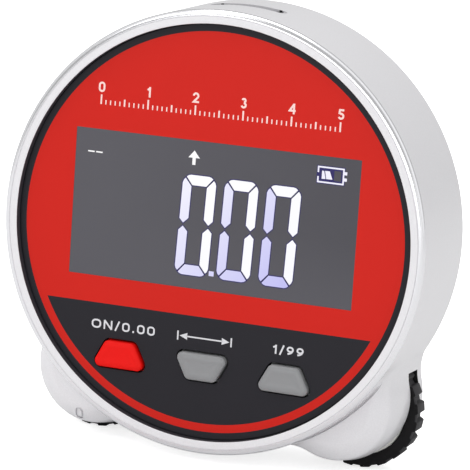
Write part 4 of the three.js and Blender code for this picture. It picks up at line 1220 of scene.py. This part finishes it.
# Each character's width, its closed lines and its open lines, at a height of 1
CHARACTERS = {
    "0": (0.68, [ring(0.68, 0.24)], []),
    "O": (0.84, [ring(0.84, 0.3)], []),
    "1": (0.5, [], [[(0.36, 0), (0.36, 1)], [(0.36, 0.86), (0.12, 0.7)]]),
    "2": (0.68, [], [[*bow(0.33, 0.67, 0.33, 2, -0.35), (0.12, PEN), (0.66, PEN)]]),
    "3": (0.66, [], [bow(0.32, 0.74, 0.26, 1.8, -1), bow(0.32, 0.3, 0.3, 1, -1.85)]),
    "4": (0.7, [], [[(0.52, 0), (0.52, 1)], [(0.5, 0.92), (0.1, 0.32), (0.7, 0.32)]]),
    "5": (0.66, [], [[(0.6, 1 - PEN), (0.18, 1 - PEN), (0.14, 0.52)], bow(0.32, 0.33, 0.33, 1.35, -1.75)]),
    "9": (0.7, [circle(0.35, 0.67, 0.33 - PEN, 24)], [bow(0.1, 0.67, 0.58, 0, -0.95, 8)]),
    "N": (0.78, [], [[(PEN, 0), (PEN, 1)], [(PEN, 0.98), (0.78 - PEN, 0.02)],
                     [(0.78 - PEN, 0), (0.78 - PEN, 1)]]),
    "/": (0.44, [], [[(0.06, -0.04), (0.38, 1.04)]]),
    ".": (0.24, [], [[(0.12, 0), (0.12, CHARACTER_LINE * 1.15)]]),
}


def lettering(text, middle, foot, height, bm, stretch=1.0):
    """Plain characters printed round a middle."""
    shapes = [CHARACTERS[character] for character in text]
    total = sum(width for width, _, _ in shapes) + CHARACTER_GAP * (len(text) - 1)
    x = middle - total * height * stretch / 2
    for width, loops, lines in shapes:
        for i, points in enumerate([*loops, *lines]):
            placed = [(x + across * height * stretch, foot + up * height) for across, up in points]
            ribbon(placed, CHARACTER_LINE * height, bm, i < len(loops), i * LINE_LIFT)
        x += (width + CHARACTER_GAP) * height * stretch


def printed(outline, bm):
    """A flat printed shape."""
    slab(outline, PRINT_DEPTH, PRINT_DEPTH + PRINT_THICKNESS, bm)


def scale_print():
    """A plain numbered scale above the display."""
    bm = bmesh.new()
    places = [(i - SCALE_COUNT / 2) * SCALE_PITCH for i in range(SCALE_COUNT + 1)]
    for i, x in enumerate(places):
        tall, half = next(size for step, size in TICKS.items() if i % step == 0)
        printed(box(x - half, x + half, SCALE_FOOT, SCALE_FOOT + tall), bm)
    for number, x in enumerate(places[::max(TICKS)]):
        lettering(str(number), x, SCALE_FOOT + NUMBER_RISE, NUMBER_HEIGHT, bm)
    piece("scale_print", bm, "case", [scale_ink])


def button_print():
    """Generic marks above the buttons: on and zero, a width between two limits, and memory places."""
    bm = bmesh.new()
    height = SIGN_TOP - SIGN_FOOT
    middle = (SIGN_FOOT + SIGN_TOP) / 2
    lettering("ON/0.00", ON_SIGN_X, SIGN_FOOT, height, bm, ON_SIGN_STRETCH)
    for side in (-1, 1):
        limit, root = side * LIMIT_X, side * ARROW_ROOT
        printed(box(limit - LIMIT_HALF, limit + LIMIT_HALF, SIGN_FOOT, SIGN_TOP), bm)
        printed([(side * ARROW_TIP, middle), (root, middle + ARROW_HALF), (root, middle - ARROW_HALF)], bm)
    printed(box(-ARROW_LINE, ARROW_LINE, middle - SIGN_LINE_HALF, middle + SIGN_LINE_HALF), bm)
    lettering("1/99", MEMORY_SIGN_X, SIGN_FOOT, height, bm, MEMORY_SIGN_STRETCH)
    piece("button_print", bm, "case", [button_ink])


# Wheels

SHADED_SIDE = 1
SIDEWARD = 0.9


def tyre(side, name, body, node):
    """A rubber ring with a flange at its front and square lugs round it."""
    x = side * AXLE_X
    root = TYRE_RADIUS - LUG_HEIGHT
    flange = TYRE_RADIUS - TYRE_FLANGE
    shoulder = TYRE_FRONT + TYRE_FLANGE_WIDTH
    ring = turned([
        (RIM_RADIUS, TYRE_FRONT), (flange - TYRE_EDGE, TYRE_FRONT), (flange, TYRE_FRONT + TYRE_EDGE),
        (flange, shoulder), (root, shoulder + TYRE_FLANGE_WIDTH), (root, TYRE_BACK - TYRE_EDGE),
        (root - TYRE_EDGE, TYRE_BACK), (RIM_RADIUS, TYRE_BACK),
    ], x, AXLE_Z, 160, closed=True)
    foot, tip = AXLE_Z - root + LUG_SINK, AXLE_Z - TYRE_RADIUS
    lugs = slab([(x - LUG_ROOT_WIDTH / 2, foot), (x - LUG_TIP_WIDTH / 2, tip),
                 (x + LUG_TIP_WIDTH / 2, tip), (x + LUG_ROOT_WIDTH / 2, foot)], TYRE_FRONT, TYRE_BACK)
    bmesh.ops.bevel(lugs, geom=lugs.edges[:], offset=LUG_EDGE * MM, offset_type="OFFSET", affect="EDGES",
                    segments=2, profile=0.5, material=-1)
    centre = at(x, 0, AXLE_Z)
    first_turn = Matrix.Rotation(TURN / LUG_COUNT / 2 + LUG_TURNS[side], 3, "Y")
    bmesh.ops.rotate(lugs, verts=lugs.verts[:], cent=centre, matrix=first_turn)
    bmesh.ops.spin(lugs, geom=all_of(lugs), cent=centre, axis=(0, 1, 0), use_duplicate=True,
                   angle=TURN * (LUG_COUNT - 1) / LUG_COUNT, steps=LUG_COUNT - 1)
    shape = worked(ring, join(lugs))
    # Faces that look to the front or back take the darker rubber: painted shade on the tyre's sides.
    for face in shape.faces:
        if abs(face.normal.y) > SIDEWARD:
            face.material_index = SHADED_SIDE
    piece(name, shape, body, [tyre_rubber, tyre_side_shade], [node], sharp=30)


# Batteries

METAL, BAND = 1, 2
CELL_CAP = 0.35
CELL_FOOT = 0.15
CELL_FOOT_RADII = (1.1, 0.9, 0.3)
CELL_NUB_RADIUS = 1.9
CELL_NUB = 0.8
CELL_NUB_EDGE = 0.2
CELL_NUB_FOOT = 0.5
CELL_BAND = 12


def cell(name):
    """A cell with its jacket, its coloured band and the metal of both ends."""
    low, high = span(f"battery_{name}")
    depth, z = (low.y + high.y) / 2, (low.z + high.z) / 2
    flip = 1 if name == "upper" else -1
    start, end = (low.x, high.x) if flip > 0 else (high.x, low.x)
    radius = (high.z - low.z) / 2
    foot_end, foot_wall, foot_edge = (radius - inset for inset in CELL_FOOT_RADII)
    foot = start + flip * CELL_FOOT
    shoulder = end - flip * CELL_NUB
    profile = [
        (0, start), (foot_end, start), (foot_wall, foot), (foot_edge, foot),
        (radius, start + flip * (CELL_FOOT + CELL_CAP)), (radius, end - flip * (CELL_NUB + CELL_CAP)),
        (radius - CELL_CAP, shoulder), (CELL_NUB_RADIUS + CELL_NUB_FOOT, shoulder),
        (CELL_NUB_RADIUS, end - flip * (CELL_NUB - CELL_NUB_EDGE)),
        (CELL_NUB_RADIUS, end - flip * CELL_NUB_EDGE), (CELL_NUB_RADIUS - CELL_NUB_EDGE, end), (0, end),
    ]
    bm = turned(profile, 0, z, 64, along="X", depth=depth)
    band = end - flip * CELL_BAND
    bmesh.ops.bisect_plane(bm, geom=all_of(bm), plane_co=at(band, 0, 0), plane_no=(1, 0, 0), dist=WELD)
    for face in bm.faces:
        middle = middle_of(face)
        if math.hypot(middle.y - depth, middle.z - z) < radius - CELL_NUB_FOOT:
            face.material_index = METAL
        elif flip * (middle.x - band) > 0:
            face.material_index = BAND
    finishes = [cell_jacket, bright_steel, cell_band]
    piece(f"{name}_cell", bm, "case", finishes, [f"battery_{name}"])


# Build everything

front_case()
rear_case()
sliding_lid()
cover_screws()
face_film()
window()
display()
battery_mark()
scale_print()
button_print()
button_cap(*BUTTONS[0], red_rubber, "red_rubber")
button_cap(*BUTTONS[1], grey_rubber, "grey_rubber")
button_cap(*BUTTONS[2], grey_rubber, "grey_rubber")
tyre(-1, "left_tyre", "measuring_wheel", "measuring_tyre")
tyre(1, "right_tyre", "support_wheel", "support_tyre")
cell("upper")
cell("lower")

CARRIED_OVER = {
    bright_steel: ["sensor_screw", "measuring_axle", "support_axle", "encoder_pin",
                   *(f"board_screw_{number}" for number in range(1, 5))],
    nickel: ["clock_crystal", "battery_spring_upper", "battery_spring_lower", "contact_upper_left",
             "contact_lower_left", "contact_bridge_right"],
    white_plastic: ["measuring_hub", "support_hub", "encoder_pinion",
                    *(f"switch_plunger_{name}" for name, *_ in BUTTONS)],
    black_plastic: ["controller_chip", "slot_sensor", "encoder_disc",
                    *(f"switch_base_{name}" for name, *_ in BUTTONS)],
    board_resin: ["main_board", "sensor_board"],
    contact_rubber: ["display_contact_strip"],
    light_guide: ["backlight_panel"],
    display_glass: ["display_glass"],
}
for material, names in CARRIED_OVER.items():
    for name in names:
        for holder in frame["nodes"][name].material_slots:
            holder.material = material


# Camera, floor and light. Places and sizes are in metres, the lens and its sensor in millimetres.

CAMERA_PLACE = Vector((0.18492, -0.49968, 0.13425))
CAMERA_AZIMUTH = math.radians(20.333)
CAMERA_ELEVATION = math.radians(10.088)
CAMERA_ROLL = math.radians(3.811)
CAMERA_LENS = 229.72
SENSOR_WIDTH = 36
NEAREST_SEEN = 0.01
FLOOR_HALF = 6
FLOOR_GREY = 0.86
FLOOR_LIFT = 0.72
STUDIO_LEVEL = 0.76
REFLECTED_LOW = 0.5
REFLECTED_HIGH = 1.0
REFLECTED_LEFT = 0.75
FACING = 0.62
SIDEWAYS = 0.3
WHITE = (1, 1, 1, 1)

# Each lamp's place, its width and height, and its power in watts
LAMPS = {
    "key": ((-0.55, -0.75, 0.75), (0.6, 0.6), 1.8),
    "above": ((-0.15, 0.0, 1.1), (0.7, 0.7), 3.1),
    "low_front": ((0.0, -0.9, 0.12), (0.8, 0.2), 1.2),
    "low_right": ((0.65, -0.6, 0.1), (0.3, 0.3), 0.15),
}


def camera():
    """The camera that was fitted to the photograph."""
    data = bpy.data.cameras.new("camera")
    data.sensor_width = SENSOR_WIDTH
    data.lens = CAMERA_LENS
    data.clip_start = NEAREST_SEEN
    made = in_scene("camera", data)
    turns = ((CAMERA_AZIMUTH, "Z"), (QUARTER - CAMERA_ELEVATION, "X"), (CAMERA_ROLL, "Z"))
    made.matrix_world = Matrix.Translation(CAMERA_PLACE)
    for angle, axis in turns:
        made.matrix_world = made.matrix_world @ Matrix.Rotation(angle, 4, axis)
    bpy.context.scene.camera = made


def lamp(name, place, size, power):
    """A soft rectangular lamp that points at the ruler's middle."""
    data = bpy.data.lights.new(name, "AREA")
    data.shape = "RECTANGLE"
    data.size, data.size_y = size
    data.energy = power
    made = in_scene(name, data)
    made.location = place
    aim = Vector((0, 0, FACE.z * MM)) - Vector(place)
    made.rotation_mode = "QUATERNION"
    made.rotation_quaternion = aim.to_track_quat("-Z", "Y")


def floor():
    """A pale floor that the camera sees lifted towards white."""
    bm = bmesh.new()
    bmesh.ops.create_grid(bm, x_segments=1, y_segments=1, size=FLOOR_HALF)
    made = in_scene("floor", mesh_of("floor", bm))
    paint = Finish("pale_floor", 0.9, specular=0.0)
    seen = add_node(paint.tree, "ShaderNodeLightPath").outputs["Is Camera Ray"]
    paint.give("Base Color", (FLOOR_GREY, FLOOR_GREY, FLOOR_GREY, 1)).give("Roughness", paint.roughness)
    paint.give("Emission Color", WHITE)
    paint.give("Emission Strength", reckon(paint.tree, "MULTIPLY", seen, FLOOR_LIFT))
    made.data.materials.append(paint.material)


def world():
    """White behind the ruler and softer on it, reflected less before, behind and at the left."""
    made = bpy.data.worlds.new("studio")
    made.use_nodes = True
    tree = made.node_tree
    background = tree.nodes["Background"].inputs
    rays = add_node(tree, "ShaderNodeLightPath").outputs
    way = add_node(tree, "ShaderNodeTexCoord").outputs["Generated"]
    parts = add_node(tree, "ShaderNodeSeparateXYZ", (way,)).outputs
    ahead = reckon(tree, "ABSOLUTE", parts["Y"])
    aside = ramp(tree, ahead, FACING, SIDEWAYS, REFLECTED_LOW, REFLECTED_HIGH)
    leftward = ramp(tree, parts["X"], -1, 0, REFLECTED_LEFT, 1)
    reflected = reckon(tree, "MULTIPLY_ADD", aside, leftward, -STUDIO_LEVEL)
    level = reckon(tree, "MULTIPLY_ADD", rays["Is Glossy Ray"], reflected, STUDIO_LEVEL)
    for kind in ("Is Camera Ray", "Is Transmission Ray"):
        level = reckon(tree, "MULTIPLY_ADD", rays[kind], 1 - STUDIO_LEVEL, level)
    feed(tree, background["Color"], WHITE)
    feed(tree, background["Strength"], level)
    bpy.context.scene.world = made


camera()
floor()
world()
for name, (place, size, power) in LAMPS.items():
    lamp(name, place, size, power)
bpy.context.scene.view_settings.view_transform = "Standard"
